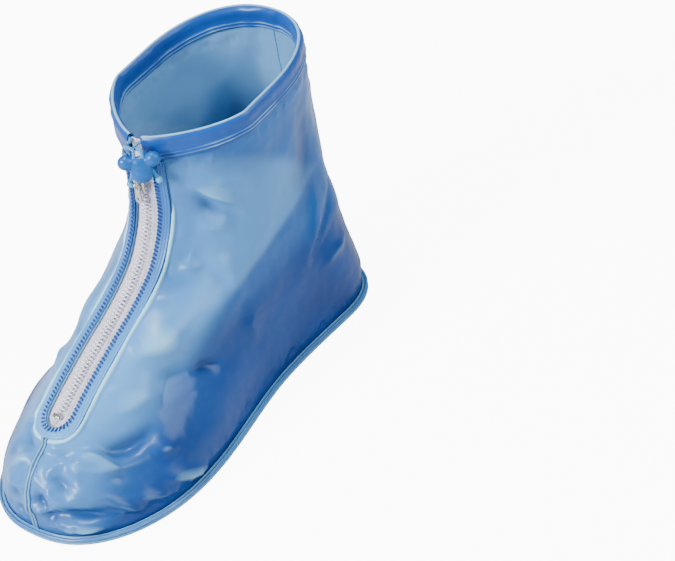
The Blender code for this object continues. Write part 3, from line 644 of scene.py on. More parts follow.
    def end_surface(
        self, end: End, y: np.ndarray, level: np.ndarray, offset: np.ndarray | float
    ) -> np.ndarray:
        """Points off the shell's front or back.

        Args:
            end: Which end of the sections.
            y: Signed distances from the centre plane.
            level: Shares of the height.
            offset: How far outside the shell.

        Returns:
            The points.
        """
        y, level = np.broadcast_arrays(np.asarray(y, float), np.asarray(level, float))
        step_y, step_level = 0.0006, 0.004
        low, high = np.maximum(level - step_level, 0), np.minimum(level + step_level, 1)
        right = self.end_point(end, y + step_y, level)
        across = right - self.end_point(end, y - step_y, level)
        upward = self.end_point(end, y, high) - self.end_point(end, y, low)
        normal = unit(np.cross(across, upward))
        if end is End.BACK:
            normal = -normal
        offset = np.broadcast_to(offset, y.shape)
        return self.end_point(end, y, level) + normal * offset[..., None]


def link(mesh: bpy.types.Mesh, name: str, finish: bpy.types.Material) -> bpy.types.Object:
    """Make a smooth shaded object of a mesh.

    Args:
        mesh: The mesh.
        name: Name of the object.
        finish: Its material.

    Returns:
        The object, in the scene's collection.
    """
    mesh.name = name
    mesh.shade_smooth()
    mesh.materials.clear()
    mesh.materials.append(finish)
    body = bpy.data.objects.new(name, mesh)
    bpy.context.scene.collection.objects.link(body)
    return body


def keep_marks(mesh: bpy.types.Mesh, marks: dict[str, np.ndarray]) -> None:
    """Keep values on a mesh's points.

    Args:
        mesh: The mesh.
        marks: The values, by attribute name.
    """
    for mark, values in marks.items():
        layer = mesh.attributes.new(mark, "FLOAT", "POINT")
        layer.data.foreach_set("value", np.ascontiguousarray(values, dtype=np.float32).ravel())


def grid_object(
    name: str,
    points: np.ndarray,
    finish: bpy.types.Material,
    thickness: float = 0.0,
    turned: bool = False,
    marks: dict[str, np.ndarray] | None = None,
    inner: bpy.types.Material | None = None,
) -> bpy.types.Object:
    """Sheet through a grid of points, thickened to its inner side.

    Args:
        name: Name of the object.
        points: Rows and columns of points.
        finish: Its material.
        thickness: Thickness of the sheet, or 0 for a single surface.
        turned: Whether the faces look the other way.
        marks: Values to keep on the points, by attribute name.
        inner: Material of the inner side, if another.

    Returns:
        The object.
    """
    rows, columns = points.shape[:2]
    shape = bmesh.new()
    uv = shape.loops.layers.uv.new("UVMap")
    bmesh.ops.create_grid(
        shape, x_segments=columns - 1, y_segments=rows - 1, size=0.5, calc_uvs=True
    )
    assert uv is not None and len(shape.verts) == rows * columns
    for vert, place in zip(shape.verts, points.reshape(-1, 3)):
        vert.co = place
    if turned:
        bmesh.ops.reverse_faces(shape, faces=shape.faces)
    mesh = bpy.data.meshes.new(name)
    shape.to_mesh(mesh)
    shape.free()
    keep_marks(mesh, marks or {})
    body = link(mesh, name, finish)
    if thickness:
        thicken = body.modifiers.new("Thickness", "SOLIDIFY")
        thicken.thickness = thickness
        thicken.offset = -1.0
        if inner:
            mesh.materials.append(inner)
            thicken.material_offset = 1
    return body


def bmesh_object(
    name: str, shape: bmesh.types.BMesh, finish: bpy.types.Material
) -> bpy.types.Object:
    """Object of a finished bmesh, with its doubles merged and normals outwards.

    Args:
        name: Name of the object.
        shape: The bmesh, which is freed.
        finish: Its material.

    Returns:
        The object.
    """
    bmesh.ops.remove_doubles(shape, verts=shape.verts, dist=SAME_PLACE)
    bmesh.ops.recalc_face_normals(shape, faces=shape.faces)
    mesh = bpy.data.meshes.new(name)
    shape.to_mesh(mesh)
    shape.free()
    return link(mesh, name, finish)


def rounded(route: np.ndarray, count: int) -> np.ndarray:
    """Smooth line through a route's points.

    Args:
        route: The points to go through.
        count: How many points the line has.

    Returns:
        Evenly spaced points of the line.
    """
    along = lengths_along(route)
    at = np.linspace(0, along[-1], count)
    return np.stack([smooth(at, along, route[:, axis]) for axis in range(3)], axis=-1)


def add_tube(
    shape: bmesh.types.BMesh, route: np.ndarray, radius: np.ndarray | float, sides: int = 10
) -> None:
    """Add a closed tube along a line of points.

    Args:
        shape: The bmesh to add to.
        route: Points of the centre line.
        radius: Radius, or one for each point.
        sides: How many sides the tube has.
    """
    radii = np.broadcast_to(radius, len(route))
    ahead = unit(np.gradient(route, axis=0))
    normal = unit(np.cross(ahead[0], (0.31, 0.52, 0.79)))
    rings = []
    for place, direction, size in zip(route, ahead, radii):
        normal = unit(normal - direction * (normal @ direction))
        side = np.cross(direction, normal)
        turn = Matrix((normal, side, direction)).transposed().to_4x4()
        where = Matrix.Translation(Vector(place)) @ turn
        ring = bmesh.ops.create_circle(
            shape, cap_ends=False, radius=float(size), segments=sides, matrix=where
        )
        rings.append(ring["verts"])
    for lower, upper in zip(rings, rings[1:]):
        both = [*lower, *upper]
        edges = dict.fromkeys(e for v in both for e in v.link_edges if e.other_vert(v) in both)
        loops = [e for e in edges if sum(v in lower for v in e.verts) != 1]
        bmesh.ops.bridge_loops(shape, edges=loops)
    for ring in (rings[0], rings[-1]):
        edges = [e for e in shape.edges if all(v in ring for v in e.verts)]
        bmesh.ops.holes_fill(shape, edges=edges, sides=sides)


def add_block(
    shape: bmesh.types.BMesh, size: Triple, where: Matrix, rounding: float, segments: int = 1
) -> None:
    """Add a block with rounded edges.

    Args:
        shape: The bmesh to add to.
        size: Lengths along the block's own x, y and z.
        where: Place and turn of its middle.
        rounding: Width of the rounded edges.
        segments: Steps of the rounding.
    """
    made = bmesh.ops.create_cube(shape, size=1.0)
    bmesh.ops.scale(shape, verts=made["verts"], vec=size)
    edges = dict.fromkeys(e for v in made["verts"] for e in v.link_edges)
    cut = bmesh.ops.bevel(
        shape,
        geom=list(edges),
        offset=rounding,
        segments=segments,
        profile=0.5,
        affect="EDGES",
        material=-1,
    )
    verts = set(cut["verts"]) | {v for v in made["verts"] if v.is_valid}
    bmesh.ops.transform(shape, matrix=where, verts=list(verts))


def place(body: bpy.types.Object, rides: Body, slot: str, *nodes: str) -> bpy.types.Object:
    """Put a piece on its body in place of its plain solids.

    Args:
        body: The piece.
        rides: The body that it moves with.
        slot: Not used.
        nodes: The plain solids that it stands for.

    Returns:
        The piece.
    """
    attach(body, rides.value)
    if nodes:
        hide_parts(*nodes)
    LOG.info("%s: %d vertices", body.name, len(body.data.vertices))
    return body


class Graph:
    """Adds nodes to a tree and links them in one call each."""

    def __init__(self, tree: bpy.types.NodeTree) -> None:
        """Start on a tree.

        Args:
            tree: A material's tree or a node group.
        """
        self.tree = tree

    def add(self, kind: str, inputs: dict | None = None, **settings: object) -> bpy.types.Node:
        """Add a node.

        Args:
            kind: The node's type name, without the ShaderNode prefix.
            inputs: Values or sockets for its inputs, by name or number.
            settings: Values for the node's own properties.

        Returns:
            The node.
        """
        node = self.tree.nodes.new("ShaderNode" + kind)
        for key, value in settings.items():
            setattr(node, key, value)
        self.feed(node, inputs or {})
        return node

    def feed(self, node: bpy.types.Node, inputs: dict) -> None:
        """Set or link a node's inputs.

        Args:
            node: The node.
            inputs: Values or sockets, by the input's name or number.
        """
        for key, value in inputs.items():
            if isinstance(value, bpy.types.NodeSocket):
                self.tree.links.new(value, node.inputs[key])
            else:
                node.inputs[key].default_value = value

    def math(self, operation: str, *values: object) -> bpy.types.NodeSocket:
        """Output of a math node on up to three values or sockets."""
        return self.add("Math", dict(enumerate(values)), operation=operation).outputs[0]

    def mix(self, factor: object, first: object, second: object) -> bpy.types.NodeSocket:
        """Mix two colours.

        Args:
            factor: Value or socket, 0 for the first colour and 1 for the second.
            first: Colour or socket.
            second: Colour or socket.

        Returns:
            The mixed colour's socket.
        """
        inputs = {"Factor": factor, "A": first, "B": second}
        node = self.tree.nodes.new("ShaderNodeMix")
        node.data_type = "RGBA"
        for key, value in inputs.items():
            kind = "NodeSocketFloatFactor" if key == "Factor" else "NodeSocketColor"
            socket = next(s for s in node.inputs if s.name == key and s.bl_idname == kind)
            if isinstance(value, bpy.types.NodeSocket):
                self.tree.links.new(value, socket)
            else:
                socket.default_value = value
        return next(s for s in node.outputs if s.bl_idname == "NodeSocketColor")

    def ramp(self, factor: object, *stops: tuple[float, float]) -> bpy.types.NodeSocket:
        """Run a value through a grey colour ramp.

        Args:
            factor: Value or socket to run through it.
            stops: Places on the ramp and their values.

        Returns:
            The ramp's socket.
        """
        node = self.add("ValToRGB", {"Fac": factor})
        bar = node.color_ramp.elements
        while len(bar) < len(stops):
            bar.new(0.5)
        for element, (where, value) in zip(bar, stops):
            element.position = where
            element.color = (value, value, value, 1.0)
        return node.outputs["Color"]


def film_group() -> bpy.types.NodeTree:
    """Group with the cloudiness and crinkles of soft plastic film, built once.

    Returns:
        The group, with outputs Cloud and Height.
    """
    name = "film_surface"
    if name in bpy.data.node_groups:
        return bpy.data.node_groups[name]
    tree = bpy.data.node_groups.new(name, "ShaderNodeTree")
    for socket in ("Cloud", "Height"):
        tree.interface.new_socket(socket, in_out="OUTPUT", socket_type="NodeSocketFloat")
    g = Graph(tree)
    spot = g.add("TexCoord").outputs["Object"]
    cloud = g.add("TexNoise", {"Vector": spot, "Scale": 24.0, "Detail": 1.0, "Roughness": 0.4})
    fleck = g.add("TexNoise", {"Vector": spot, "Scale": 900.0, "Detail": 2.0})
    soft = g.add("TexNoise", {"Vector": spot, "Scale": 60.0, "Detail": 3.0, "Distortion": 0.8})
    height = g.math("MULTIPLY", soft.outputs["Fac"], 0.8)
    grain = g.math("MULTIPLY", fleck.outputs["Fac"], 0.02)
    g.feed(tree.nodes.new("NodeGroupOutput"), {
        "Cloud": cloud.outputs["Fac"],
        "Height": g.math("ADD", height, grain),
    })
    return tree


def fresh(name: str) -> tuple[bpy.types.Material, Graph, bpy.types.Node]:
    """New node material.

    Args:
        name: Name of the material.

    Returns:
        The material, its graph and its Principled shader.
    """
    made = bpy.data.materials.new(name)
    made.use_nodes = True
    return made, Graph(made.node_tree), made.node_tree.nodes["Principled BSDF"]


def plain(colour: Colour) -> tuple[float, float, float, float]:
    """A colour with full alpha."""
    return (*colour, 1.0)


@dataclass(frozen=True)
class FilmFinish:
    """Soft, milky PVC film, with highlights painted on its ridges and rolled edges and shade
    painted in its valleys.
    """

    name: str
    low: Colour
    high: Colour
    painted_highlight: Colour
    painted_light_pale: Colour
    band_and_painted_shade: Colour = (0.008, 0.110, 0.40)
    roughness: float = 0.34
    transmission: float = 0.08
    crinkle: float = 0.0005
    fold_reach: float = 0.0036
    ior: float = 1.42
    shine_tint: Colour = (0.62, 0.84, 1.0)
    shine: float = 0.38
    coat: float = 0.10
    coat_roughness: float = 0.20

    def build(self) -> bpy.types.Material:
        """Build the film's material, on the walls' values of painted light, deeper blue, folds and
        edges: lighter where light falls, highlights painted on ridges and rolled edges, shade
        painted in valleys.

        Returns:
            The material.
        """
        made, g, shader = fresh(self.name)
        film = g.add("Group", node_tree=film_group())
        cloud = g.ramp(film.outputs["Cloud"], (0.1, 0.0), (0.9, 1.0))
        body = g.mix(cloud, plain(self.low), plain(self.high))
        # Painted light: the film mixed towards its lighter colour where light falls.
        tone = g.add("Attribute", attribute_name="tone").outputs["Fac"]
        body = g.mix(tone, body, plain(self.painted_light_pale))
        # Deeper blue under the collar, and painted shade at the back of the ankle.
        band_and_painted_shade = g.add("Attribute", attribute_name="band_and_painted_shade").outputs["Fac"]
        body = g.mix(band_and_painted_shade, body, plain(self.band_and_painted_shade))
        # Painted highlight on the fold ridges and painted shade in the fold valleys, from the fold
        # heights.
        fold = g.add("Attribute", attribute_name="fold").outputs["Fac"]
        lifted = g.math("DIVIDE", fold, self.fold_reach)
        painted_highlight = g.ramp(lifted, (0.3, 0.0), (0.8, 0.60))
        # Painted highlight along the rolled edges and beside the zip.
        edge = g.add("Attribute", attribute_name="edge").outputs["Fac"]
        painted_highlight = g.math("MAXIMUM", painted_highlight, g.ramp(edge, (0.25, 0.0), (0.8, 1.0)))
        body = g.mix(painted_highlight, body, plain(self.painted_highlight))
        painted_valley_shade = g.ramp(g.math("MULTIPLY", lifted, -1.0), (0.1, 0.0), (1.0, 0.60))
        body = g.mix(painted_valley_shade, body, plain(self.low))
        bump = g.add(
            "Bump", {"Height": film.outputs["Height"], "Distance": self.crinkle, "Strength": 0.8}
        )
        g.feed(shader, {
            "Base Color": body,
            "Roughness": g.math("MULTIPLY_ADD", cloud, 0.06, self.roughness - 0.04),
            "Normal": bump.outputs["Normal"],
            "Transmission Weight": self.transmission,
            "IOR": self.ior,
            "Specular Tint": plain(self.shine_tint),
            "Specular IOR Level": self.shine,
            "Coat Weight": self.coat,
            "Coat Roughness": self.coat_roughness,
        })
        return made


@dataclass(frozen=True)
class WeaveFinish:
    """Ribbed woven tape or braid."""

    name: str
    low: Colour
    high: Colour
    along: float = 900.0
    across: float = 700.0
    depth: float = 0.0004
    roughness: float = 0.78
    sheen: float = 0.25

    def build(self) -> bpy.types.Material:
        """Build the weave's material, on the piece's along and across values.

        Returns:
            The material.
        """
        made, g, shader = fresh(self.name)
        along = g.add("Attribute", attribute_name="along").outputs["Fac"]
        across = g.add("Attribute", attribute_name="across").outputs["Fac"]
        warp = g.math("SINE", g.math("MULTIPLY", across, 2 * math.pi * self.across))
        weft = g.math("SINE", g.math("MULTIPLY", along, 2 * math.pi * self.along))
        cloth = g.math("MULTIPLY", warp, weft)
        spot = g.add("TexCoord").outputs["Object"]
        fuzz = g.add("TexNoise", {"Vector": spot, "Scale": 1500.0, "Detail": 3.0})
        tint = g.add("TexNoise", {"Vector": spot, "Scale": 160.0, "Detail": 2.0})
        shade = g.math("MULTIPLY_ADD", cloth, 0.25, 0.5)
        shade = g.math("ADD", shade, g.math("SUBTRACT", tint.outputs["Fac"], 0.5))
        height = g.math("ADD", cloth, fuzz.outputs["Fac"])
        bump = g.add("Bump", {"Height": height, "Distance": self.depth, "Strength": 0.7})
        g.feed(shader, {
            "Base Color": g.mix(shade, plain(self.low), plain(self.high)),
            "Roughness": self.roughness,
            "Normal": bump.outputs["Normal"],
            "Sheen Weight": self.sheen,
        })
        return made


@dataclass(frozen=True)
class PlasticFinish:
    """Moulded plastic with a fine grain."""

    name: str
    colour: Colour
    worn: Colour
    roughness: float = 0.32
    grain: float = 0.00025
    scale: float = 420.0
    shine: float = 0.35
    coat: float = 0.08
    coat_roughness: float = 0.15

    def build(self) -> bpy.types.Material:
        """Build the plastic's material.

        Returns:
            The material.
        """
        made, g, shader = fresh(self.name)
        spot = g.add("TexCoord").outputs["Object"]
        cloud = g.add("TexNoise", {"Vector": spot, "Scale": self.scale / 4, "Detail": 3.0})
        grain = g.add("TexNoise", {"Vector": spot, "Scale": self.scale * 3, "Detail": 2.0})
        body = g.mix(
            g.ramp(cloud.outputs["Fac"], (0.4, 0.0), (0.75, 1.0)),
            plain(self.colour),
            plain(self.worn),
        )
        bump = g.add(
            "Bump", {"Height": grain.outputs["Fac"], "Distance": self.grain, "Strength": 0.5}
        )
        g.feed(shader, {
            "Base Color": body,
            "Roughness": g.math(
                "MULTIPLY_ADD", grain.outputs["Fac"], 0.15, self.roughness - 0.07
            ),
            "Normal": bump.outputs["Normal"],
            "Specular IOR Level": self.shine,
            "Coat Weight": self.coat,
            "Coat Roughness": self.coat_roughness,
        })
        return made


@dataclass(frozen=True)
class MetalFinish:
    """Plated metal with fine scratches."""

    name: str
    colour: Colour
    roughness: float = 0.28
    scratch_scale: Triple = (300.0, 4000.0, 500.0)
    scratch_depth: float = 0.00008
    dull: float = 0.62

    def build(self) -> bpy.types.Material:
        """Build the metal's material.

        Returns:
            The material.
        """
        made, g, shader = fresh(self.name)
        spot = g.add("TexCoord").outputs["Object"]
        drawn = g.add("Mapping", {"Vector": spot, "Scale": self.scratch_scale})
        scratch = g.add("TexNoise", {"Vector": drawn.outputs[0], "Scale": 1.0, "Detail": 3.0})
        dirt = g.add("TexNoise", {"Vector": spot, "Scale": 350.0, "Detail": 4.0})
        shade = g.ramp(dirt.outputs["Fac"], (0.35, 0.0), (0.7, 1.0))
        dull = tuple(self.dull * c for c in self.colour)
        lines = scratch.outputs["Fac"]
        bump = g.add("Bump", {"Height": lines, "Distance": self.scratch_depth})
        g.feed(shader, {
            "Base Color": g.mix(shade, plain(dull), plain(self.colour)),
            "Roughness": g.math("MULTIPLY_ADD", lines, 0.2, self.roughness - 0.1),
            "Normal": bump.outputs["Normal"],
            "Metallic": 1.0,
        })
        return made


@dataclass(frozen=True)
class FloorFinish:
    """Pale, plain studio floor, brighter to the eye than as a lamp."""

    name: str
    colour: Colour
    glow: float = 16.0
    mirrored: float = 0.022
    roughness: float = 0.9
    uneven: float = 0.985

    def build(self) -> bpy.types.Material:
        """Build the floor's material.

        Returns:
            The material.
        """
        made, g, shader = fresh(self.name)
        spot = g.add("TexCoord").outputs["Object"]
        cloud = g.add("TexNoise", {"Vector": spot, "Scale": 3.0, "Detail": 3.0})
        dimmer = tuple(self.uneven * c for c in self.colour)
        path = g.add("LightPath").outputs
        mirrored = g.math("MULTIPLY", path["Is Glossy Ray"], self.mirrored)
        seen = g.math("MAXIMUM", path["Is Camera Ray"], mirrored)
        g.feed(shader, {
            "Base Color": g.mix(cloud.outputs["Fac"], plain(dimmer), plain(self.colour)),
            "Roughness": self.roughness,
            "Emission Color": g.mix(seen, plain((0.0, 0.0, 0.0)), plain(self.colour)),
            "Emission Strength": self.glow,
        })
        return made


@dataclass(frozen=True)
class Finishes:
    """Every finish of the cover, ready made."""

    film: bpy.types.Material
    inside_film_painted_lighter: bpy.types.Material
    deep: bpy.types.Material
    sole: bpy.types.Material
    tape: bpy.types.Material
    coil: bpy.types.Material
    thread: bpy.types.Material
    lock: bpy.types.Material
    cord: bpy.types.Material
    bead: bpy.types.Material
    metal: bpy.types.Material

    @staticmethod
    def make() -> Finishes:
        """Build every finish.

        Returns:
            The finishes.
        """
        return Finishes(
            # Each film gives its low and high colours, then its painted highlight colour and its
            # painted light colour.
            film=FilmFinish(
                "blue_film", (0.001, 0.024, 0.160), (0.003, 0.056, 0.28), (0.36, 0.80, 1.0),
                (0.085, 0.290, 0.640),
            ).build(),
            # The same film on the inside face, painted lighter to stand in for the light that
            # reaches it.
            inside_film_painted_lighter=FilmFinish(
                "blue_film_inside_painted_lighter", (0.15, 0.36, 0.62), (0.22, 0.44, 0.70), (0.36, 0.60, 0.85),
                (0.21, 0.43, 0.69), band_and_painted_shade=(0.13, 0.34, 0.63),
            ).build(),
            deep=FilmFinish(
                "deep_blue_film", (0.002, 0.045, 0.28), (0.004, 0.075, 0.38), (0.42, 0.80, 1.0),
                (0.11, 0.36, 0.76),
            ).build(),
            sole=FilmFinish(
                "sole_film", (0.10, 0.28, 0.52), (0.16, 0.36, 0.60), (0.4, 0.6, 0.8),
                (0.2, 0.4, 0.6), roughness=0.42, transmission=0.0,
            ).build(),
            tape=WeaveFinish("zip_tape_weave", (0.52, 0.50, 0.62), (0.86, 0.83, 0.94)).build(),
            coil=PlasticFinish(
                "zip_coil_nylon", (0.78, 0.76, 0.88), (0.92, 0.90, 0.98), 0.36
            ).build(),
            thread=PlasticFinish(
                "overlock_thread", (0.004, 0.03, 0.20), (0.010, 0.07, 0.34), 0.55
            ).build(),
            lock=PlasticFinish(
                "cord_lock_plastic", (0.0, 0.085, 0.33), (0.0, 0.105, 0.38), 0.32
            ).build(),
            cord=WeaveFinish(
                "drawcord_braid", (0.01, 0.17, 0.44), (0.06, 0.38, 0.68), 500.0, 500.0
            ).build(),
            bead=PlasticFinish(
                "cord_end_plastic", (0.04, 0.30, 0.60), (0.16, 0.52, 0.80), 0.3
            ).build(),
            metal=MetalFinish("zip_metal", (0.72, 0.71, 0.70)).build(),
        )


class Walls:
    """The two side walls with their folds, and the seams between them."""

    COLUMNS = 230
    ROWS = 176
    MOUTH_ROWS = 12
    SHARE_BELOW_ZIP = 0.38
    TOP_DROP = 0.0085
    HEM_DROP = 0.0165
    PATH_POINTS = 17
    SWELLS = ((0.0009, 0.055, 4), (0.00022, 0.024, 9))
    FOLD_REACH = 4.0
    FOLD_END_EASE = 1.5
    RIDGE_HIGHLIGHT_PAINT = 0.45
    VALLEY_SHADE_PAINT = 1.1
    BAND_AND_SHADE_SHARE = 0.9
    SEAM_WIDTH = 0.0046
    SEAM_THICKNESS = 0.0006
    SEAM_COLUMNS = 19
    SEAM_ROWS = 200
    SEAM_HIGHLIGHT_PAINT = 3.0
    BEAD_HEIGHT = 0.0019
    BEAD_WIDTH = 0.0013
    BEAD_CLEARANCE = 0.0016
    BEAD_REACH = 0.012
    BEAD_CORNER = 3.6
    BEAD_LINE_POINTS = 90
    BEAD_STARTS = {1: 0.040, -1: 0.026}

    def __init__(self, shell: Shell, zip_sizes: ZipSizes, folds: list[Fold]) -> None:
        """Lay out the rows and displace both walls.

        Args:
            shell: The unfolded surface.
            zip_sizes: Sizes of the opening.
            folds: Ridges and valleys.
        """
        self.shell = shell
        self.zip = zip_sizes
        self.folds = folds
        self.levels = self._levels()
        self.cuts = np.array([self._cut(v) for v in self.levels])
        gap = shell.sizes.seam_gap
        rows = zip(self.levels, self.cuts)
        self.base = np.stack(
            [shell.line(float(level), float(cut), gap, self.COLUMNS) for level, cut in rows]
        )
        self.normals = self._outward()
        share = np.linspace(1, 0, self.COLUMNS)
        self.rounds = np.broadcast_to(share, self.base.shape[:2])
        self.from_back, self.from_front = self._distances()
        self.mask = self._mask()
        self.bead = {side: self._bead(side) for side in (1, -1)}
        self.pushed = {
            side: self._push(side) + self.BEAD_HEIGHT * bead for side, bead in self.bead.items()
        }
        self.tone, self.band_and_painted_shade = self._tone()

    def _levels(self) -> np.ndarray:
        """Levels of the rows, closer together at the zip's lower end.

        Returns:
            The levels, from the foot to the hem.
        """
        shell, end_drop = self.shell, self.zip.length
        top = 1 - self.TOP_DROP / shell.sizes.front_height
        half = self.zip.half_opening
        mouth = shell.level_at(end_drop - half * np.linspace(0.0, 1.0, self.MOUTH_ROWS) ** 1.5)
        below = round(self.ROWS * self.SHARE_BELOW_ZIP)
        share = np.linspace(0, 1, self.ROWS - below - self.MOUTH_ROWS + 2)
        by_level = mouth[-1] + (top - mouth[-1]) * share
        start = float(shell.drop_at(mouth[-1]))
        by_drop = shell.level_at(start + (self.TOP_DROP - start) * share)
        under = np.linspace(0, float(mouth[0]), below, endpoint=False)
        return np.concatenate([under, mouth[:-1], (by_level + by_drop) / 2])

    def _cut(self, level: float) -> float:
        """Half width of the zip opening.

        Args:
            level: Share of the height.

        Returns:
            The half width, or the seam's gap below the opening.
        """
        above_end = self.zip.length - float(self.shell.drop_at(level))
        if above_end <= 0:
            return self.shell.sizes.seam_gap
        reach = min(above_end / self.zip.half_opening, 1.0)
        wide = self.zip.half_opening * math.sqrt(1 - (1 - reach) ** 2)
        return max(wide, self.shell.sizes.seam_gap)

    def _outward(self) -> np.ndarray:
        """Outward normals of the left wall, in the centre plane at both seams.

        Returns:
            The normals of its points.
        """
        along = np.gradient(self.base, axis=1)
        upward = np.gradient(self.base, axis=0)
        normals = -unit(np.cross(along, upward))
        closed = self.cuts <= self.shell.sizes.seam_gap * 1.01
        normals[closed, -1, 1] = 0.0
        normals[:, 0, 1] = 0.0
        return unit(normals)

    def _distances(self) -> tuple[np.ndarray, np.ndarray]:
        """Lengths along the rows of a wall.

        Returns:
            How far its points are from the back seam and from the front line.
        """
        step = np.linalg.norm(np.diff(self.base, axis=1), axis=-1)
        from_back = np.concatenate([np.zeros((len(step), 1)), np.cumsum(step, axis=1)], axis=1)
        return from_back, from_back[:, -1:] - from_back + self.cuts[:, None]

    def _mask(self) -> np.ndarray:
        """How free a wall is to fold.

        Returns:
            1 inside the wall and 0 where it is held by another piece.
        """
        seam_fade, facing_fade, edge_fade = 0.010, 0.006, 0.007
        drop = self.shell.drop_at(self.levels)[:, None]
        facing = self.zip.half_opening + self.zip.facing_width
        below_zip = ramp((drop - self.zip.length - 0.002) / seam_fade)
        clear = ramp((self.from_front - facing + 0.001) / facing_fade)
        mask = np.maximum(clear, below_zip) * ramp((self.from_back - 0.004) / seam_fade)
        height = self.base[..., 2]
        above_foot = height - self.shell.sizes.foot
        below_hem = self.shell.height(self.base[..., 0], 1.0) - self.HEM_DROP - height
        return mask * ramp(above_foot / edge_fade) * ramp(below_hem / edge_fade + 0.25)

    def _bead(self, side: int) -> np.ndarray:
        """Shape of the rolled edge along the facing's outline, 0 to 1.

        Args:
            side: 1 for the left wall and -1 for the right one.

        Returns:
            The bead's height over the points of the wall.
        """
        wide = self.zip.half_opening + self.zip.facing_width + self.BEAD_CLEARANCE
        turns = np.linspace(0, math.pi / 2, 26)
        power = 2 / self.BEAD_CORNER
        count = self.BEAD_LINE_POINTS
        straight = np.linspace(0.02, self.zip.length - self.zip.half_opening, count)
        across = np.concatenate([np.full(count, wide), wide * np.cos(turns) ** power])
        drops = np.concatenate([straight, straight[-1] + wide * np.sin(turns) ** power])
        line = self.shell.end_surface(End.FRONT, across, self.shell.level_at(drops), 0.0)
        nearest = np.full(self.base.shape[:2], np.inf)
        close = self.from_front < wide + self.BEAD_REACH
        spots = self.base[close]
        gaps = np.full(len(spots), np.inf)
        for start, end in zip(line, line[1:]):
            gaps = np.minimum(gaps, nearest_on(spots, start, end)[1])
        nearest[close] = gaps
        drop = self.shell.drop_at(self.levels)[:, None]
        begun = ramp((drop - self.BEAD_STARTS[side]) / 0.016)
        thicker = 1.0 + 0.25 * np.sin(drop * 90.0) * np.sin(drop * 37.0 + side)
        return ridge(nearest, 0.0, self.BEAD_WIDTH * thicker) * begun

    def _painted_highlight_strip(self, side: int) -> np.ndarray:
        """Painted highlight beside the zip, more of it on the right wall.

        Args:
            side: 1 for the left wall and -1 for the right one.

        Returns:
            How strong the painted highlight is at the points of the wall, 0 to 1.
        """
        reach, most = (0.030, 0.46) if side < 0 else (0.020, 0.30)
        near = 1 - ramp((self.from_front - 0.016) / reach)
        drop = self.shell.drop_at(self.levels)[:, None]
        begun = ramp((drop - 0.05) / 0.05) * (1 - ramp((drop - 0.185) / 0.03))
        return near * begun * most

    def _tone(self) -> tuple[np.ndarray, np.ndarray]:
        """Shares of painted light and shade, and of a deeper blue, over the walls.

        Returns:
            How much lighter the film is painted: painted light on the front of the ankle, where
                light falls, and painted shade low on the foot and towards the heel. And how deep a
                blue it is, most under the collar and, as painted shade, at the back of the ankle.
        """
        rounds = np.asarray(self.rounds)
        levels = np.broadcast_to(self.levels[:, None], rounds.shape)
        # Painted light on the front of the ankle, where light falls, and painted shade low on the
        # foot and towards the heel.
        edge = 0.04 + 0.45 * levels + 0.85 * ramp((levels - 0.38) / 0.42)
        front = 1 - ramp((rounds - edge) / (0.16 + 0.34 * ramp((levels - 0.4) / 0.3)))
        near_zip = 0.5 * ramp((levels - 0.42) / 0.12) * (1 - ramp((rounds - 0.08) / 0.14))
        front = front * (1 - near_zip)
        toe_front = 0.28 + 0.34 * (1 - ramp((rounds - 0.06) / 0.16))
        toe = toe_front * (0.5 + 0.5 * ramp(levels / 0.12))
        base = 0.02 + 0.12 * ramp((0.45 - rounds) / 0.15) + 0.22 * ramp((levels - 0.33) / 0.25)
        painted_light_pale = (base + (1 - base) * front) * (toe + (1 - toe) * ramp((levels - 0.13) / 0.20))
        # Deeper blue under the collar, and painted shade down the back of the ankle.
        under_hem = ramp((levels - 0.91 + 0.25 * rounds + 0.42 * rounds**2) / 0.07)
        painted_shade_behind = 0.85 * ramp((rounds - edge - 0.06) / 0.12) * ramp((levels - 0.30) / 0.14)
        return painted_light_pale, self.BAND_AND_SHADE_SHARE * np.maximum(under_hem, painted_shade_behind)

    def _path(self, fold: Fold) -> tuple[np.ndarray, np.ndarray, np.ndarray]:
        """A fold's path on the unfolded walls.

        Args:
            fold: The fold.

        Returns:
            The path's points, their signed round shares and their levels.
        """
        rounds, levels = fold.path(self.PATH_POINTS)
        row = np.interp(levels, self.levels, np.arange(len(self.levels)))
        column = (1 - np.clip(np.abs(rounds), 0, 1)) * (self.COLUMNS - 1)
        path = read_grid(self.base, row, column)
        path[:, 1] *= np.where(rounds < 0, -1.0, 1.0)
        return path, rounds, levels

    def _push(self, side: int) -> np.ndarray:
        """How far the points of one wall are pushed out by the folds.

        Args:
            side: 1 for the left wall and -1 for the right one.

        Returns:
            Lengths along the outward normals.
        """
        points = self.base * (1, side, 1)
        rounds = self.rounds * side
        levels = np.broadcast_to(self.levels[:, None], rounds.shape)
        total = sum(high * swell(points, length, seed) for high, length, seed in self.SWELLS)
        for fold in self.folds:
            total = total + self._one_fold(fold, points, rounds, levels)
        return total * self.mask

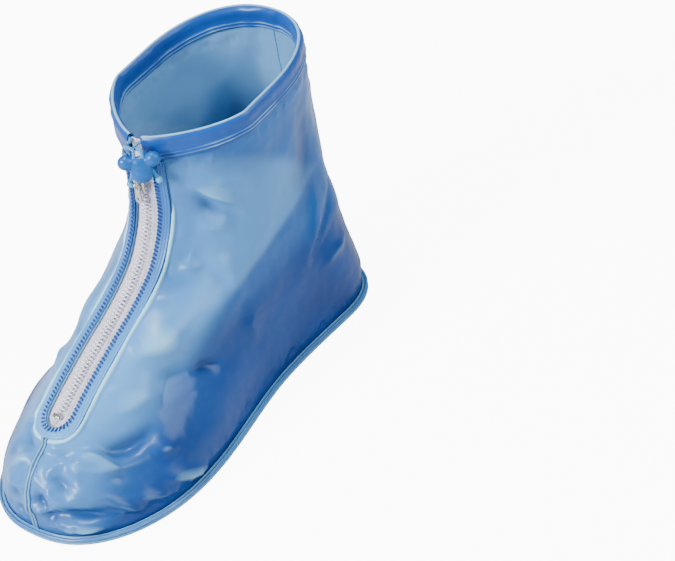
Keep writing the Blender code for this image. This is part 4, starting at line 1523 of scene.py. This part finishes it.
    def _one_fold(
        self, fold: Fold, points: np.ndarray, rounds: np.ndarray, levels: np.ndarray
    ) -> np.ndarray:
        """Height of a single fold.

        Args:
            fold: The fold.
            points: Points of a wall.
            rounds: Their signed round shares.
            levels: Their levels.

        Returns:
            The fold's height over the points.
        """
        path, path_rounds, path_levels = self._path(fold)
        reach = fold.width * self.FOLD_REACH
        near = np.all(
            (points > path.min(axis=0) - reach) & (points < path.max(axis=0) + reach), axis=-1
        )
        pushed = np.zeros(rounds.shape)
        if not near.any():
            return pushed
        spots, spot_rounds, spot_levels = points[near], rounds[near], levels[near]
        nearest = np.full(len(spots), np.inf)
        signed = np.zeros(len(spots))
        along = np.zeros(len(spots))
        for part in range(len(path) - 1):
            share, gap = nearest_on(spots, path[part], path[part + 1])
            closer = gap < nearest
            nearest = np.where(closer, gap, nearest)
            turn = (path_rounds[part + 1] - path_rounds[part]) * (
                spot_levels - path_levels[part]
            ) - (path_levels[part + 1] - path_levels[part]) * (spot_rounds - path_rounds[part])
            signed = np.where(closer, np.sign(turn), signed)
            along = np.where(closer, (part + share) / (len(path) - 1), along)
        scaled = nearest / (fold.width * (1 + fold.lean * signed))
        steep, blunt = 1.7, 0.02
        soft = np.exp(-(scaled**2))
        sharp = np.exp(-steep * (np.sqrt(scaled**2 + blunt) - math.sqrt(blunt)))
        profile = soft * (1 - fold.crisp) + sharp * fold.crisp
        strength = np.sin(math.pi * np.clip(along, 0.0, 1.0)) ** self.FOLD_END_EASE
        pushed[near] = fold.depth * strength * profile
        return pushed

    def surface(self, side: int, lift: float = 0.0) -> np.ndarray:
        """Outer face of one wall, with a lift along the normals."""
        out = (self.pushed[side] + lift)[..., None]
        return (self.base + self.normals * out) * (1, side, 1)

    def build(self, finishes: Finishes) -> list[bpy.types.Object]:
        """Both walls.

        Args:
            finishes: The finishes to use.

        Returns:
            The left and the right wall.
        """
        made = []
        for name, side in (("side_panel_left", 1), ("side_panel_right", -1)):
            pushed = self.pushed[side]
            wall = grid_object(
                name + "_film",
                self.surface(side),
                finishes.film,
                self.shell.sizes.wall,
                turned=side > 0,
                # The fold values paint highlight on the ridges and shade in the valleys; the edge
                # values paint highlight along the rolled bead and beside the zip.
                marks={
                    "fold": pushed * np.where(pushed > 0, self.RIDGE_HIGHLIGHT_PAINT, self.VALLEY_SHADE_PAINT),
                    "edge": np.maximum(self.bead[side], self._painted_highlight_strip(side)),
                    "tone": self.tone,
                    "band_and_painted_shade": self.band_and_painted_shade,
                },
                inner=finishes.inside_film_painted_lighter,
            )
            made.append(place(wall, Body.COVER, "blue_pvc", name))
        return made

    def build_seams(self, finishes: Finishes) -> None:
        """Weld strips with two beads over the toe seam and the heel seam, with a highlight painted
        on the beads.

        Args:
            finishes: The finishes to use.
        """
        half = self.SEAM_WIDTH / 2
        spread = np.linspace(-half, half, self.SEAM_COLUMNS)
        bead = 0.0006 * ridge(np.abs(spread), half * 0.55, 0.0005) + 0.0004
        # Painted highlight along the weld beads.
        mark = bead * self.SEAM_HIGHLIGHT_PAINT
        facing_end = self.zip.length + self.zip.facing_width
        rows = [i for i, v in enumerate(self.levels) if self.shell.drop_at(v) > facing_end]
        lines = [
            [self._near_front(row, across, lift) for across, lift in zip(spread, bead)]
            for row in rows
        ]
        toe = grid_object(
            "toe_seam_weld", np.array(lines), finishes.film, self.SEAM_THICKNESS,
            marks={"fold": np.broadcast_to(mark, (len(lines), len(spread)))},
        )
        place(toe, Body.COVER, "deep_blue_pvc", "toe_seam")
        top = 1 - self.HEM_DROP / self.shell.sizes.back_height
        levels = np.linspace(0.004, top, self.SEAM_ROWS)
        y, level = np.meshgrid(spread, levels)
        back = self.shell.end_surface(End.BACK, y, level, bead[None, :] + 0.0003)
        heel = grid_object(
            "heel_seam_weld", back, finishes.film, self.SEAM_THICKNESS, turned=True,
            marks={"fold": np.broadcast_to(mark, y.shape)},
        )
        place(heel, Body.COVER, "deep_blue_pvc", "heel_seam")

    def _near_front(self, row: int, across: float, lift: float) -> np.ndarray:
        """Point over a displaced wall near the front line.

        Args:
            row: The wall's row.
            across: Signed distance from the front line, above 0 on the left wall.
            lift: How far off the wall.

        Returns:
            The point.
        """
        side = 1 if across >= 0 else -1
        face = self.base[row] + self.normals[row] * (self.pushed[side][row] + lift)[:, None]
        face = face * (1, side, 1)
        distance = self.from_front[row]
        order = np.argsort(distance)
        return np.array(
            [np.interp(abs(across), distance[order], face[order, i]) for i in range(3)]
        )


class Hem:
    """Folded channel round the collar, with two weld lines."""

    COLUMNS = 170
    PROFILE = 46
    HEM_HIGHLIGHT_PAINT = 0.0034

    def __init__(self, shell: Shell, sizes: HemSizes) -> None:
        """Keep the surface and the sizes.

        Args:
            shell: The unfolded surface.
            sizes: Sizes of the hem.
        """
        self.shell = shell
        self.sizes = sizes

    def rim(self, out: float, down: float, front_cut: float, count: int) -> np.ndarray:
        """Line round the collar, right front to left front.

        Args:
            out: Distance off the wall's face.
            down: Distance below the rim.
            front_cut: Half width that is open at the front.
            count: Points of each half.

        Returns:
            The line's points.
        """
        level = 1 - down / self.shell.sizes.front_height
        left = self.shell.line(level, front_cut, 0.0, count)
        line = np.concatenate([(left * (1, -1, 1))[::-1], left[1:]])
        ahead = np.gradient(line[:, :2], axis=0)
        outward = unit(np.stack([-ahead[:, 1], ahead[:, 0]], axis=-1))
        line[:, :2] += outward * out
        return line

    def profile(self) -> tuple[np.ndarray, np.ndarray]:
        """Section of the hem's outer face, from the outer side over to the inner one.

        Returns:
            Distances out from the wall's face, and down from the rim.
        """
        s = self.sizes
        outer = s.bent_gap + s.thickness
        inner = -(s.wall + s.bent_gap + s.thickness)
        middle = -s.wall / 2
        bulge = s.cord_radius + s.cord_room + s.thickness
        rows = np.array([
            (outer, s.height),
            (outer, s.height * 0.50),
            (middle + bulge, s.cord_drop + 0.0008),
            (middle + bulge * 0.93, s.cord_drop - 0.0010),
            (middle + bulge * 0.36, 0.0008),
            (middle, 0.0),
            (middle - bulge * 0.36, 0.0008),
            (middle - bulge * 0.93, s.cord_drop - 0.0010),
            (middle - bulge, s.cord_drop + 0.0008),
            (inner, s.height * 0.50),
            (inner, s.height - 0.001),
        ])
        line = rounded(np.column_stack([rows, np.zeros(len(rows))]), self.PROFILE)
        out, down = line[:, 0], line[:, 1]
        for weld in s.welds:
            raised = s.weld_raise * ridge(down, s.height - weld, 0.0005)
            out = out + np.where(out > middle, raised, -raised)
        return out, down

    def build(self, finishes: Finishes) -> bpy.types.Object:
        """The hem, slightly gathered by its cord.

        Args:
            finishes: The finishes to use.

        Returns:
            The hem.
        """
        outs, downs = self.profile()
        lines, marks = [], []
        for out, down in zip(outs, downs):
            line = self.rim(float(out), float(down), self.sizes.end, self.COLUMNS)
            held = ramp(down / 0.004)
            wave = swell(line * (1, 1, 0.35), 0.012, 21) * 0.00035 * held
            wave += swell(line * (1, 1, 0.5), 0.045, 5) * 0.0006 * held
            away = unit(line[:, :2] - line[:, :2].mean(axis=0))
            line[:, :2] += away * wave[:, None]
            # Painted highlight on the weld lines and the top of the rim, and a little painted shade
            # in the dips of the waves.
            weld = sum(ridge(down, self.sizes.height - at, 0.0006) for at in self.sizes.welds)
            painted_highlight_share = max(float(weld) * 0.75, float(ridge(down, 0.0, 0.0009)))
            lines.append(line)
            marks.append(np.full(len(line), self.HEM_HIGHLIGHT_PAINT * painted_highlight_share) + wave * 1.2)
        hem = grid_object(
            "collar_hem_film", np.array(lines), finishes.deep, self.sizes.thickness * 0.8,
            turned=True, marks={"fold": np.array(marks), "tone": np.full_like(marks, 0.05)},
        )
        return place(hem, Body.COVER, "deep_blue_pvc", "collar_hem")


class Zip:
    """Tapes, coil, facing, stitches, slider, pull and stop."""

    ROWS = 330
    TAPE_COLUMNS = 34
    RIBS = (0.0042, 0.0056, 0.0078)
    RIB_HEIGHT = 0.00045
    TOOTH_PITCH = 0.00125
    TOOTH = (0.0020, 0.0036, 0.0009)
    TOOTH_LEAN = 0.12
    FACING_ROWS = 25
    FACING_LINES = (0.0034, 0.0050)
    STRAIGHT_POINTS = 240
    BEND_POINTS = 74
    STITCH_SHARE = 0.17
    STITCH_PITCH = 0.0025
    STITCH_SLANT = math.radians(68.0)
    STITCH = (0.0010, 0.0011, 0.0034)

    def __init__(self, shell: Shell, sizes: ZipSizes, hem: HemSizes) -> None:
        """Keep the surface and the sizes.

        Args:
            shell: The unfolded surface.
            sizes: Sizes of the zip.
            hem: Sizes of the hem over its upper end.
        """
        self.shell = shell
        self.sizes = sizes
        self.hem = hem
        self.below = -(hem.wall + sizes.bent_gap)

    def surface(self, y: np.ndarray, drop: np.ndarray, offset: np.ndarray | float) -> np.ndarray:
        """Points at this distance from the centre and down from the rim."""
        return self.shell.end_surface(End.FRONT, y, self.shell.level_at(drop), offset)

    def frame(self, drop: float, y: float = 0.0) -> Matrix:
        """Frame on the cover's front.

        Args:
            drop: Distance down from the rim.
            y: Distance to the left of the centre.

        Returns:
            The frame, with x out of the cover, y left and z up the zip.
        """
        here = self.surface(np.array(y), np.array(drop), 0.0)
        out = Vector(self.surface(np.array(y), np.array(drop), 0.001) - here).normalized()
        up = Vector(self.surface(np.array(y), np.array(drop - 0.001), 0.0) - here)
        left = up.cross(out).normalized()
        up = out.cross(left).normalized()
        return Matrix.Translation(Vector(here)) @ Matrix((out, left, up)).transposed().to_4x4()

    def build_tapes(self, finishes: Finishes) -> None:
        """The two woven tapes, with raised cords along them.

        Args:
            finishes: The finishes to use.
        """
        s = self.sizes
        wide = s.half_opening + s.tape_overlap
        drops = np.linspace(0.003, s.length + 0.002, self.ROWS)
        for name, side in (("zip_tape_left", 1), ("zip_tape_right", -1)):
            share = np.linspace(0, 1, self.TAPE_COLUMNS)
            edge = np.where(drops <= self.hem.height + 0.0005, self.hem.end - 0.0006, wide)
            across = s.tape_inner + (edge[:, None] - s.tape_inner) * share
            rib = sum(ridge(across, at, 0.0005) for at in self.RIBS)
            offset = self.below + self.RIB_HEIGHT * rib
            down = np.broadcast_to(drops[:, None], across.shape)
            tape = grid_object(
                name + "_weave", self.surface(across * side, down, offset), finishes.tape,
                s.tape_thickness, turned=side > 0, marks={"along": down, "across": across},
            )
            place(tape, Body.COVER, "zip_tape", name)

    def build_coil(self, finishes: Finishes) -> None:
        """Two rows of meshed coil turns.

        Args:
            finishes: The finishes to use.
        """
        s = self.sizes
        shape = bmesh.new()
        top, bottom = s.slider_drop + 0.003, s.length - s.stop_rise - 0.001
        count = int((bottom - top) / self.TOOTH_PITCH)
        for number in range(count):
            side = 1 if number % 2 else -1
            drop = top + number * self.TOOTH_PITCH
            lean = Matrix.Rotation(self.TOOTH_LEAN * side, 4, "X")
            shift = Matrix.Translation((self.below + 0.0015, side * 0.0014, 0))
            add_block(shape, self.TOOTH, self.frame(drop) @ shift @ lean, 0.00034)
        coil = bmesh_object("zip_coil_turns", shape, finishes.coil)
        place(coil, Body.COVER, "zip_coil", "zip_coil")

    def facing_path(self, share: float) -> tuple[np.ndarray, np.ndarray]:
        """Line of the U-shaped facing at a share of its width.

        Args:
            share: 0 at the opening and 1 at the facing's outer edge.

        Returns:
            Distances from the centre, and down from the rim.
        """
        s = self.sizes
        count = self.STRAIGHT_POINTS
        start = self.hem.height + 0.001
        y = s.half_opening + 0.0003 + s.facing_width * share
        straight = np.linspace(start, s.length - s.half_opening, count)
        turns = np.linspace(0, math.pi, self.BEND_POINTS)[1:-1]
        power = 2 / (2 + 2.2 * share)
        bent_y = y * np.sign(np.cos(turns)) * np.abs(np.cos(turns)) ** power
        bent_drop = straight[-1] + y * np.sin(turns) ** power
        across = np.concatenate([np.full(count, y), bent_y, np.full(count, -y)])
        drops = np.concatenate([straight, bent_drop, straight[::-1]])
        return across, drops

    def build_facing(self, finishes: Finishes) -> None:
        """Blue edging round the opening, with two raised lines, and highlights painted on its lines
        and edges.

        Args:
            finishes: The finishes to use.
        """
        s = self.sizes
        lines, marks, tones = [], [], []
        for share in np.linspace(0, 1, self.FACING_ROWS):
            across, drops = self.facing_path(float(share))
            tones.append(drops)
            at = share * s.facing_width
            raised = 0.0005 * sum(ridge(at, line, 0.0004) for line in self.FACING_LINES)
            roll = 0.0006 * ridge(at, 0.0, 0.0009)
            edge = 0.0008 * ridge(at, s.facing_width, 0.0010)
            offset = s.bent_gap + s.facing_thickness + raised + roll * 0.5 + edge * 0.4
            points = self.surface(across, drops, offset)
            lines.append(points)
            # Painted highlight on the two raised lines, the rolled inner edge and the outer edge.
            marks.append(np.full(len(points), float(raised + roll * 0.6 + edge * 0.5)))
        tone = 0.25 + 0.65 * ramp(np.array(tones) / s.length)
        facing = grid_object(
            "zip_facing_film", np.array(lines), finishes.deep, s.facing_thickness,
            marks={"fold": np.array(marks), "tone": tone},
        )
        place(facing, Body.COVER, "deep_blue_pvc", "zip_facing")

    def build_stitches(self, finishes: Finishes) -> None:
        """Slanting overlock stitches over the facing's inner edge.

        Args:
            finishes: The finishes to use.
        """
        across, drops = self.facing_path(self.STITCH_SHARE)
        along = lengths_along(self.surface(across, drops, 0.0))
        out = self.sizes.bent_gap + self.sizes.facing_thickness + 0.0006
        shape = bmesh.new()
        for distance in np.arange(0.004, along[-1] - 0.004, self.STITCH_PITCH):
            y = float(np.interp(distance, along, across))
            drop = float(np.interp(distance, along, drops))
            ahead_y = float(np.interp(distance + 0.001, along, across)) - y
            ahead_drop = float(np.interp(distance + 0.001, along, drops)) - drop
            heading = math.atan2(ahead_y, -ahead_drop)
            turn = Matrix.Rotation(-heading + self.STITCH_SLANT, 4, "X")
            where = self.frame(drop, y) @ Matrix.Translation((out, 0, 0)) @ turn
            add_block(shape, self.STITCH, where, 0.0004)
        thread = bmesh_object("zip_facing_stitches", shape, finishes.thread)
        place(thread, Body.COVER, "deep_blue_pvc")

    def build_slider(self, finishes: Finishes) -> None:
        """Slider with its bail, the pull that hangs from it, and the stop.

        Args:
            finishes: The finishes to use.
        """
        s = self.sizes
        frame = self.frame(s.slider_drop)
        outer, inner = 0.0028, -0.0030
        shape = bmesh.new()
        for depth, width in ((outer - 0.00055, 0.0088), (inner - 0.00055, 0.0060)):
            where = frame @ Matrix.Translation((depth, 0, 0))
            add_block(shape, (0.0011, width, 0.0100), where, 0.0005, 3)
        where = frame @ Matrix.Translation(((outer + inner) / 2, 0, 0.0033))
        add_block(shape, (outer - inner, 0.0010, 0.0034), where, 0.0002)
        pivot = outer + 0.0014
        lean = math.asin(0.7) + 0.25
        turns = np.linspace(-lean, math.pi + lean, 29)
        arc = [frame @ Vector((pivot + 0.002 * math.sin(t), 0, 0.002 * math.cos(t))) for t in turns]
        add_tube(shape, np.array(arc), 0.0006, 12)
        slider = bmesh_object("zip_slider_metal", shape, finishes.metal)
        place(slider, Body.COVER, "zip_metal", "zip_slider")
        pull = self._pull(frame @ Matrix.Translation((pivot, 0, 0)), finishes)
        place(pull, Body.PULL, "zip_metal", "zip_pull")
        shape = bmesh.new()
        where = self.frame(s.length - s.stop_rise + 0.0015)
        where = where @ Matrix.Translation((0.0004, 0, 0))
        add_block(shape, (0.0022, 0.0058, 0.0030), where, 0.0006, 3)
        stop = bmesh_object("zip_bottom_stop_metal", shape, finishes.metal)
        place(stop, Body.COVER, "zip_metal", "zip_bottom_stop")

    def _pull(self, frame: Matrix, finishes: Finishes) -> bpy.types.Object:
        """Flat pull with an eye for the bail and a round hole.

        Args:
            frame: Frame on the pull's axis.
            finishes: The finishes to use.

        Returns:
            The pull.
        """
        half, length = 0.0026, 0.0125
        rounds = np.linspace(math.pi, 2 * math.pi, 25)
        outline = [(half * 0.62, 0.0007), (-half * 0.62, 0.0007), (-half * 0.8, -length * 0.3)]
        outline += [(half * math.cos(t), -length + half + half * math.sin(t)) for t in rounds]
        outline += [(half * 0.8, -length * 0.3)]
        eye = [(0.001, -0.0009), (0.001, -0.0031), (-0.001, -0.0031), (-0.001, -0.0009)]
        turns = np.linspace(0, 2 * math.pi, 25)[:-1]
        radius = 0.0012
        hole = [(radius * math.cos(t), -length + half + radius * math.sin(t)) for t in turns]
        rounding = 0.00016
        curve = bpy.data.curves.new("pull_outline", "CURVE")
        curve.dimensions = "2D"
        curve.fill_mode = "BOTH"
        curve.extrude = 0.00032
        curve.bevel_depth = rounding
        curve.bevel_resolution = 2
        curve.offset = -rounding
        for loop in (outline, eye, hole):
            spline = curve.splines.new("POLY")
            spline.points.add(len(loop) - 1)
            for point, (x, y) in zip(spline.points, loop):
                point.co = (x, y, 0, 1)
            spline.use_cyclic_u = True
        holder = bpy.data.objects.new("pull_outline", curve)
        bpy.context.scene.collection.objects.link(holder)
        graph = bpy.context.evaluated_depsgraph_get()
        mesh = bpy.data.meshes.new_from_object(holder.evaluated_get(graph))
        bpy.data.objects.remove(holder)
        stand = Matrix(((0, 0, 1, 0), (1, 0, 0, 0), (0, 1, 0, 0), (0, 0, 0, 1)))
        mesh.transform(frame @ stand)
        shape = bmesh.new()
        shape.from_mesh(mesh)
        bpy.data.meshes.remove(mesh)
        return bmesh_object("zip_pull_metal", shape, finishes.metal)


class Cord:
    """Drawcord, its beads and the cord lock."""

    SIDES = 12
    BEAD_LENGTH = 0.0040
    BEAD_RADIUS = 0.0022
    LOCK_CENTRE = (-0.0020, 0.0110, 0.1785)
    LOCK_TURN = math.radians(38.0)
    LOBE_JOIN = 7.6
    LOBES = (
        ((0.0, 0.0, 0.0010), (0.0074, 0.0040, 0.0058)),
        ((0.0, 0.0006, -0.0052), (0.0068, 0.0052, 0.0060)),
        ((0.0084, 0.0, 0.0038), (0.0049, 0.0042, 0.0049)),
        ((-0.0084, 0.0, 0.0038), (0.0049, 0.0042, 0.0049)),
    )

    def __init__(self, hem: Hem) -> None:
        """Keep the hem that the cord runs in.

        Args:
            hem: The collar hem.
        """
        self.hem = hem

    def spot(self, across: float, front: float, up: float) -> np.ndarray:
        """A point given in the lock's own directions."""
        turned = Matrix.Rotation(self.LOCK_TURN, 4, "Z") @ Vector((front, across, up))
        return np.array(Vector(self.LOCK_CENTRE) + turned)

    def routes(self) -> tuple[np.ndarray, list[np.ndarray]]:
        """Lines that the cord follows.

        Returns:
            Its line in the hem, and its two front runs through the lock.
        """
        sizes = self.hem.sizes
        inside = self.hem.rim(-sizes.wall / 2, sizes.cord_drop, sizes.end - 0.0008, 60)
        runs = []
        for side in (1, -1):
            end = inside[-1] if side > 0 else inside[0]
            runs.append(np.array([
                end + (0.0026, -0.0010 * side, -0.0002),
                end + (0.0060, -0.0006 * side, -0.0006),
                self.spot(side * 0.0023, -0.0016, 0.0096),
                self.spot(side * 0.0026, 0.0, 0.0062),
                self.spot(side * 0.0046, 0.0, 0.0004),
                self.spot(side * 0.0066, 0.0, -0.0056),
                self.spot(side * 0.0080, 0.0006, -0.0088),
            ]))
        return inside, runs

    def build(self, finishes: Finishes) -> None:
        """The cord in one piece, with a bead on each end.

        Args:
            finishes: The finishes to use.
        """
        inside, (left, right) = self.routes()
        shape = bmesh.new()
        ends = [rounded(run, 40) for run in (left, right)]
        route = np.concatenate([ends[1][::-1], inside, ends[0]])
        add_tube(shape, route, self.hem.sizes.cord_radius, self.SIDES)
        cord = bmesh_object("drawcord_braid", shape, finishes.cord)
        along = lengths_along(route)
        half = self.SIDES // 2
        turns = np.abs(np.arange(self.SIDES) - half) / half * math.pi
        around = turns * self.hem.sizes.cord_radius
        down, across = np.meshgrid(along, around, indexing="ij")
        keep_marks(cord.data, {"along": down, "across": across})
        place(cord, Body.COVER, "drawcord", "drawcord")
        LOG.info("drawcord length %.0f mm", along[-1] * 1000)
        for name, run in (("cord_end_left", left), ("cord_end_right", right)):
            ahead = unit(run[-1] - run[-2])
            share = np.linspace(0, 1, 22)
            radius = self.BEAD_RADIUS * np.sqrt(np.clip(1 - (2 * share - 1) ** 4, 0.02, 1))
            line = run[-1] + ahead * (0.0003 + self.BEAD_LENGTH * share[:, None])
            shape = bmesh.new()
            add_tube(shape, line, radius, 20)
            bead = bmesh_object(name + "_bead", shape, finishes.bead)
            place(bead, Body.COVER, "cord_end", name)

    def _field(self, spots: np.ndarray) -> np.ndarray:
        """Smoothly joined distance to the lock's lobes.

        Args:
            spots: Places in the lock's own directions.

        Returns:
            The distances, below 0 inside.
        """
        total = np.zeros(spots.shape[:-1])
        for (across, front, up), (wide, deep, tall) in self.LOBES:
            away = (spots - (front, across, up)) / (deep, wide, tall)
            total += np.exp(-self.LOBE_JOIN * (np.linalg.norm(away, axis=-1) - 1))
        return -np.log(total) / self.LOBE_JOIN

    def build_lock(self, finishes: Finishes) -> None:
        """Cord lock: one rounded body of joined lobes.

        Args:
            finishes: The finishes to use.
        """
        shape = bmesh.new()
        bmesh.ops.create_icosphere(shape, subdivisions=6, radius=1.0)
        centre = np.array((0.0, 0.0, 0.0012))
        nearest, farthest, step = 0.0002, 0.0150, 0.0001
        ways = unit(np.array([v.co for v in shape.verts]))
        outer = np.full(len(ways), nearest)
        for reach in np.linspace(nearest, farthest, 260):
            inside = self._field(centre + ways * reach) < 0
            outer = np.where(inside, reach, outer)
        low, high = outer, outer + step
        for _ in range(12):
            middle = (low + high) / 2
            inside = self._field(centre + ways * middle[:, None]) < 0
            low, high = np.where(inside, middle, low), np.where(inside, high, middle)
        spots = centre + ways * low[:, None]
        for vert, spot in zip(shape.verts, spots):
            vert.co = spot
        bmesh.ops.smooth_vert(
            shape,
            verts=shape.verts,
            factor=0.5,
            use_axis_x=True,
            use_axis_y=True,
            use_axis_z=True,
        )
        turn = Matrix.Rotation(self.LOCK_TURN, 4, "Z")
        where = Matrix.Translation(Vector(self.LOCK_CENTRE)) @ turn
        bmesh.ops.transform(shape, matrix=where, verts=shape.verts)
        lock = bmesh_object("cord_lock_body", shape, finishes.lock)
        place(lock, Body.COVER, "lock_plastic", "cord_lock")


class Base:
    """Sole and the welded margin round it."""

    SOLE_MARGIN = 0.004
    SOLE_THICKNESS = 0.002
    FLANGE_MARGIN = 0.0042
    FLANGE_HEIGHT = 0.0034
    FLANGE_THICKNESS = 0.0008
    FLANGE_HIGHLIGHT_PAINT = 2.6

    def __init__(self, shell: Shell) -> None:
        """Keep the surface.

        Args:
            shell: The unfolded surface.
        """
        self.shell = shell

    def outline(self, margin: float, count: int) -> np.ndarray:
        """Closed outline of the walls' foot, moved out by a margin.

        Args:
            margin: How far out.
            count: Points of each half.

        Returns:
            The outline's x and y.
        """
        left = self.shell.line(0.0, 0.0, 0.0, count)[:, :2]
        loop = np.concatenate([left, (left * (1, -1))[-2:0:-1]])
        ahead = np.roll(loop, -1, axis=0) - np.roll(loop, 1, axis=0)
        outward = unit(np.stack([-ahead[:, 1], ahead[:, 0]], axis=-1))
        return loop + outward * margin

    def build_sole(self, finishes: Finishes) -> None:
        """Flat sole with a rounded edge.

        Args:
            finishes: The finishes to use.
        """
        loop = self.outline(self.SOLE_MARGIN, 170)
        shape = bmesh.new()
        ring = bmesh.ops.create_circle(shape, cap_ends=True, radius=1.0, segments=len(loop))
        for vert, (x, y) in zip(ring["verts"], loop):
            vert.co = (x, y, 0.0)
        lifted = bmesh.ops.extrude_face_region(shape, geom=list(shape.faces))
        top = [v for v in lifted["geom"] if isinstance(v, bmesh.types.BMVert)]
        bmesh.ops.translate(shape, verts=top, vec=(0, 0, self.SOLE_THICKNESS))
        rim = [e for e in shape.edges if abs(e.verts[0].co.z - e.verts[1].co.z) < SAME_PLACE]
        bmesh.ops.bevel(
            shape, geom=rim, offset=0.0006, segments=3, profile=0.5, affect="EDGES", material=-1
        )
        sole = bmesh_object("sole_sheet", shape, finishes.sole)
        place(sole, Body.COVER, "sole_pvc", "sole")

    def build_flange(self, finishes: Finishes) -> None:
        """Welded margin with two raised lines and a soft wave, with highlights painted on the
        lines.

        Args:
            finishes: The finishes to use.
        """
        margins = np.linspace(-0.003, self.FLANGE_MARGIN, 40)
        raised = 0.0009 * ridge(margins, 0.0008, 0.0006)
        raised = raised + 0.0007 * ridge(margins, 0.0030, 0.0005)
        lines, marks = [], []
        for margin, bead in zip(margins, raised):
            loop = self.outline(float(margin), 260)
            loop = np.concatenate([loop, loop[:1]])
            flat = np.column_stack([loop, np.zeros(len(loop))])
            wave = 0.00025 * swell(flat, 0.016, 3) * ramp((margin + 0.001) / 0.004)
            lines.append(np.column_stack([loop, self.FLANGE_HEIGHT + bead + wave]))
            # Painted highlight on the two raised lines.
            marks.append(np.full(len(loop), self.FLANGE_HIGHLIGHT_PAINT * bead))
        flange = grid_object(
            "weld_flange_film", np.array(lines), finishes.film, self.FLANGE_THICKNESS,
            marks={"fold": np.array(marks), "tone": np.full_like(marks, 0.6)},
        )
        place(flange, Body.COVER, "blue_pvc", "weld_flange")


@dataclass(frozen=True)
class Lamp:
    """One soft area light, aimed at the cover."""

    name: str
    place: Triple
    size: float
    power: float
    colour: Colour = (1.0, 1.0, 1.0)


class Studio:
    """Camera, lights, world and floor."""

    CAMERA_PLACE = (0.74569, 0.92526, 0.94367)
    CAMERA_AHEAD = (-0.55648, -0.57519, -0.59958)
    CAMERA_UP = (-0.57147, -0.25887, 0.77873)
    LENS = 125.53
    LAMPS = (
        Lamp("key_light", (1.15, -0.30, 0.85), 0.55, 38.0),
        Lamp("side_light", (-0.40, 1.3, 1.0), 1.15, 21.0),
        Lamp("top_light", (-0.10, -0.10, 1.45), 0.35, 13.0),
    )
    LAMP_AIM = (0.0, 0.0, 0.08)
    SKY_COLOUR = (0.78, 0.89, 1.0)
    SKY_STRENGTH = 0.36

    def build_camera(self) -> None:
        """Camera at the picture's angle."""
        ahead = Vector(self.CAMERA_AHEAD).normalized()
        right = ahead.cross(Vector(self.CAMERA_UP)).normalized()
        up = right.cross(ahead)
        turn = Matrix((right, up, -ahead)).transposed()
        lens = bpy.data.cameras.new("camera")
        lens.sensor_fit = "HORIZONTAL"
        lens.sensor_width = 36.0
        lens.lens = self.LENS
        lens.clip_start, lens.clip_end = 0.05, 50.0
        camera = bpy.data.objects.new("camera", lens)
        camera.matrix_world = Matrix.Translation(self.CAMERA_PLACE) @ turn.to_4x4()
        bpy.context.scene.collection.objects.link(camera)
        bpy.context.scene.camera = camera

    def build_lights(self) -> None:
        """Soft lamps and an even pale world."""
        for lamp in self.LAMPS:
            data = bpy.data.lights.new(lamp.name, "AREA")
            data.shape = "DISK"
            data.size = lamp.size
            data.energy = lamp.power
            data.color = lamp.colour
            light = bpy.data.objects.new(lamp.name, data)
            light.location = lamp.place
            aim = Vector(self.LAMP_AIM) - Vector(lamp.place)
            light.rotation_euler = aim.to_track_quat("-Z", "Y").to_euler()
            bpy.context.scene.collection.objects.link(light)
        world = bpy.data.worlds.new("studio")
        world.use_nodes = True
        sky = world.node_tree.nodes["Background"]
        sky.inputs["Color"].default_value = plain(self.SKY_COLOUR)
        sky.inputs["Strength"].default_value = self.SKY_STRENGTH
        bpy.context.scene.world = world

    def build_floor(self) -> None:
        """Wide pale floor under the sole."""
        shape = bmesh.new()
        bmesh.ops.create_grid(shape, x_segments=2, y_segments=2, size=6.0)
        finish = FloorFinish("studio_floor", (0.62, 0.62, 0.62)).build()
        floor = bmesh_object("studio_floor", shape, finish)
        floor.location.z = -0.0001


def main() -> None:
    """Build every piece on the frame, then the studio."""
    logging.basicConfig(level=logging.INFO, format="%(message)s")
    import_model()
    shell = Shell(ShellSizes())
    finishes = Finishes.make()
    zip_sizes, hem_sizes = ZipSizes(), HemSizes()
    folds = [Fold(*row) for row in MAIN_FOLDS] + gathers(3) + small_folds(7)
    walls = Walls(shell, zip_sizes, folds)
    walls.build(finishes)
    walls.build_seams(finishes)
    hem = Hem(shell, hem_sizes)
    hem.build(finishes)
    fastener = Zip(shell, zip_sizes, hem_sizes)
    fastener.build_tapes(finishes)
    fastener.build_coil(finishes)
    fastener.build_facing(finishes)
    fastener.build_stitches(finishes)
    fastener.build_slider(finishes)
    cord = Cord(hem)
    cord.build(finishes)
    cord.build_lock(finishes)
    base = Base(shell)
    base.build_sole(finishes)
    base.build_flange(finishes)
    studio = Studio()
    studio.build_floor()
    studio.build_lights()
    studio.build_camera()


if __name__ == "__main__":
    main()
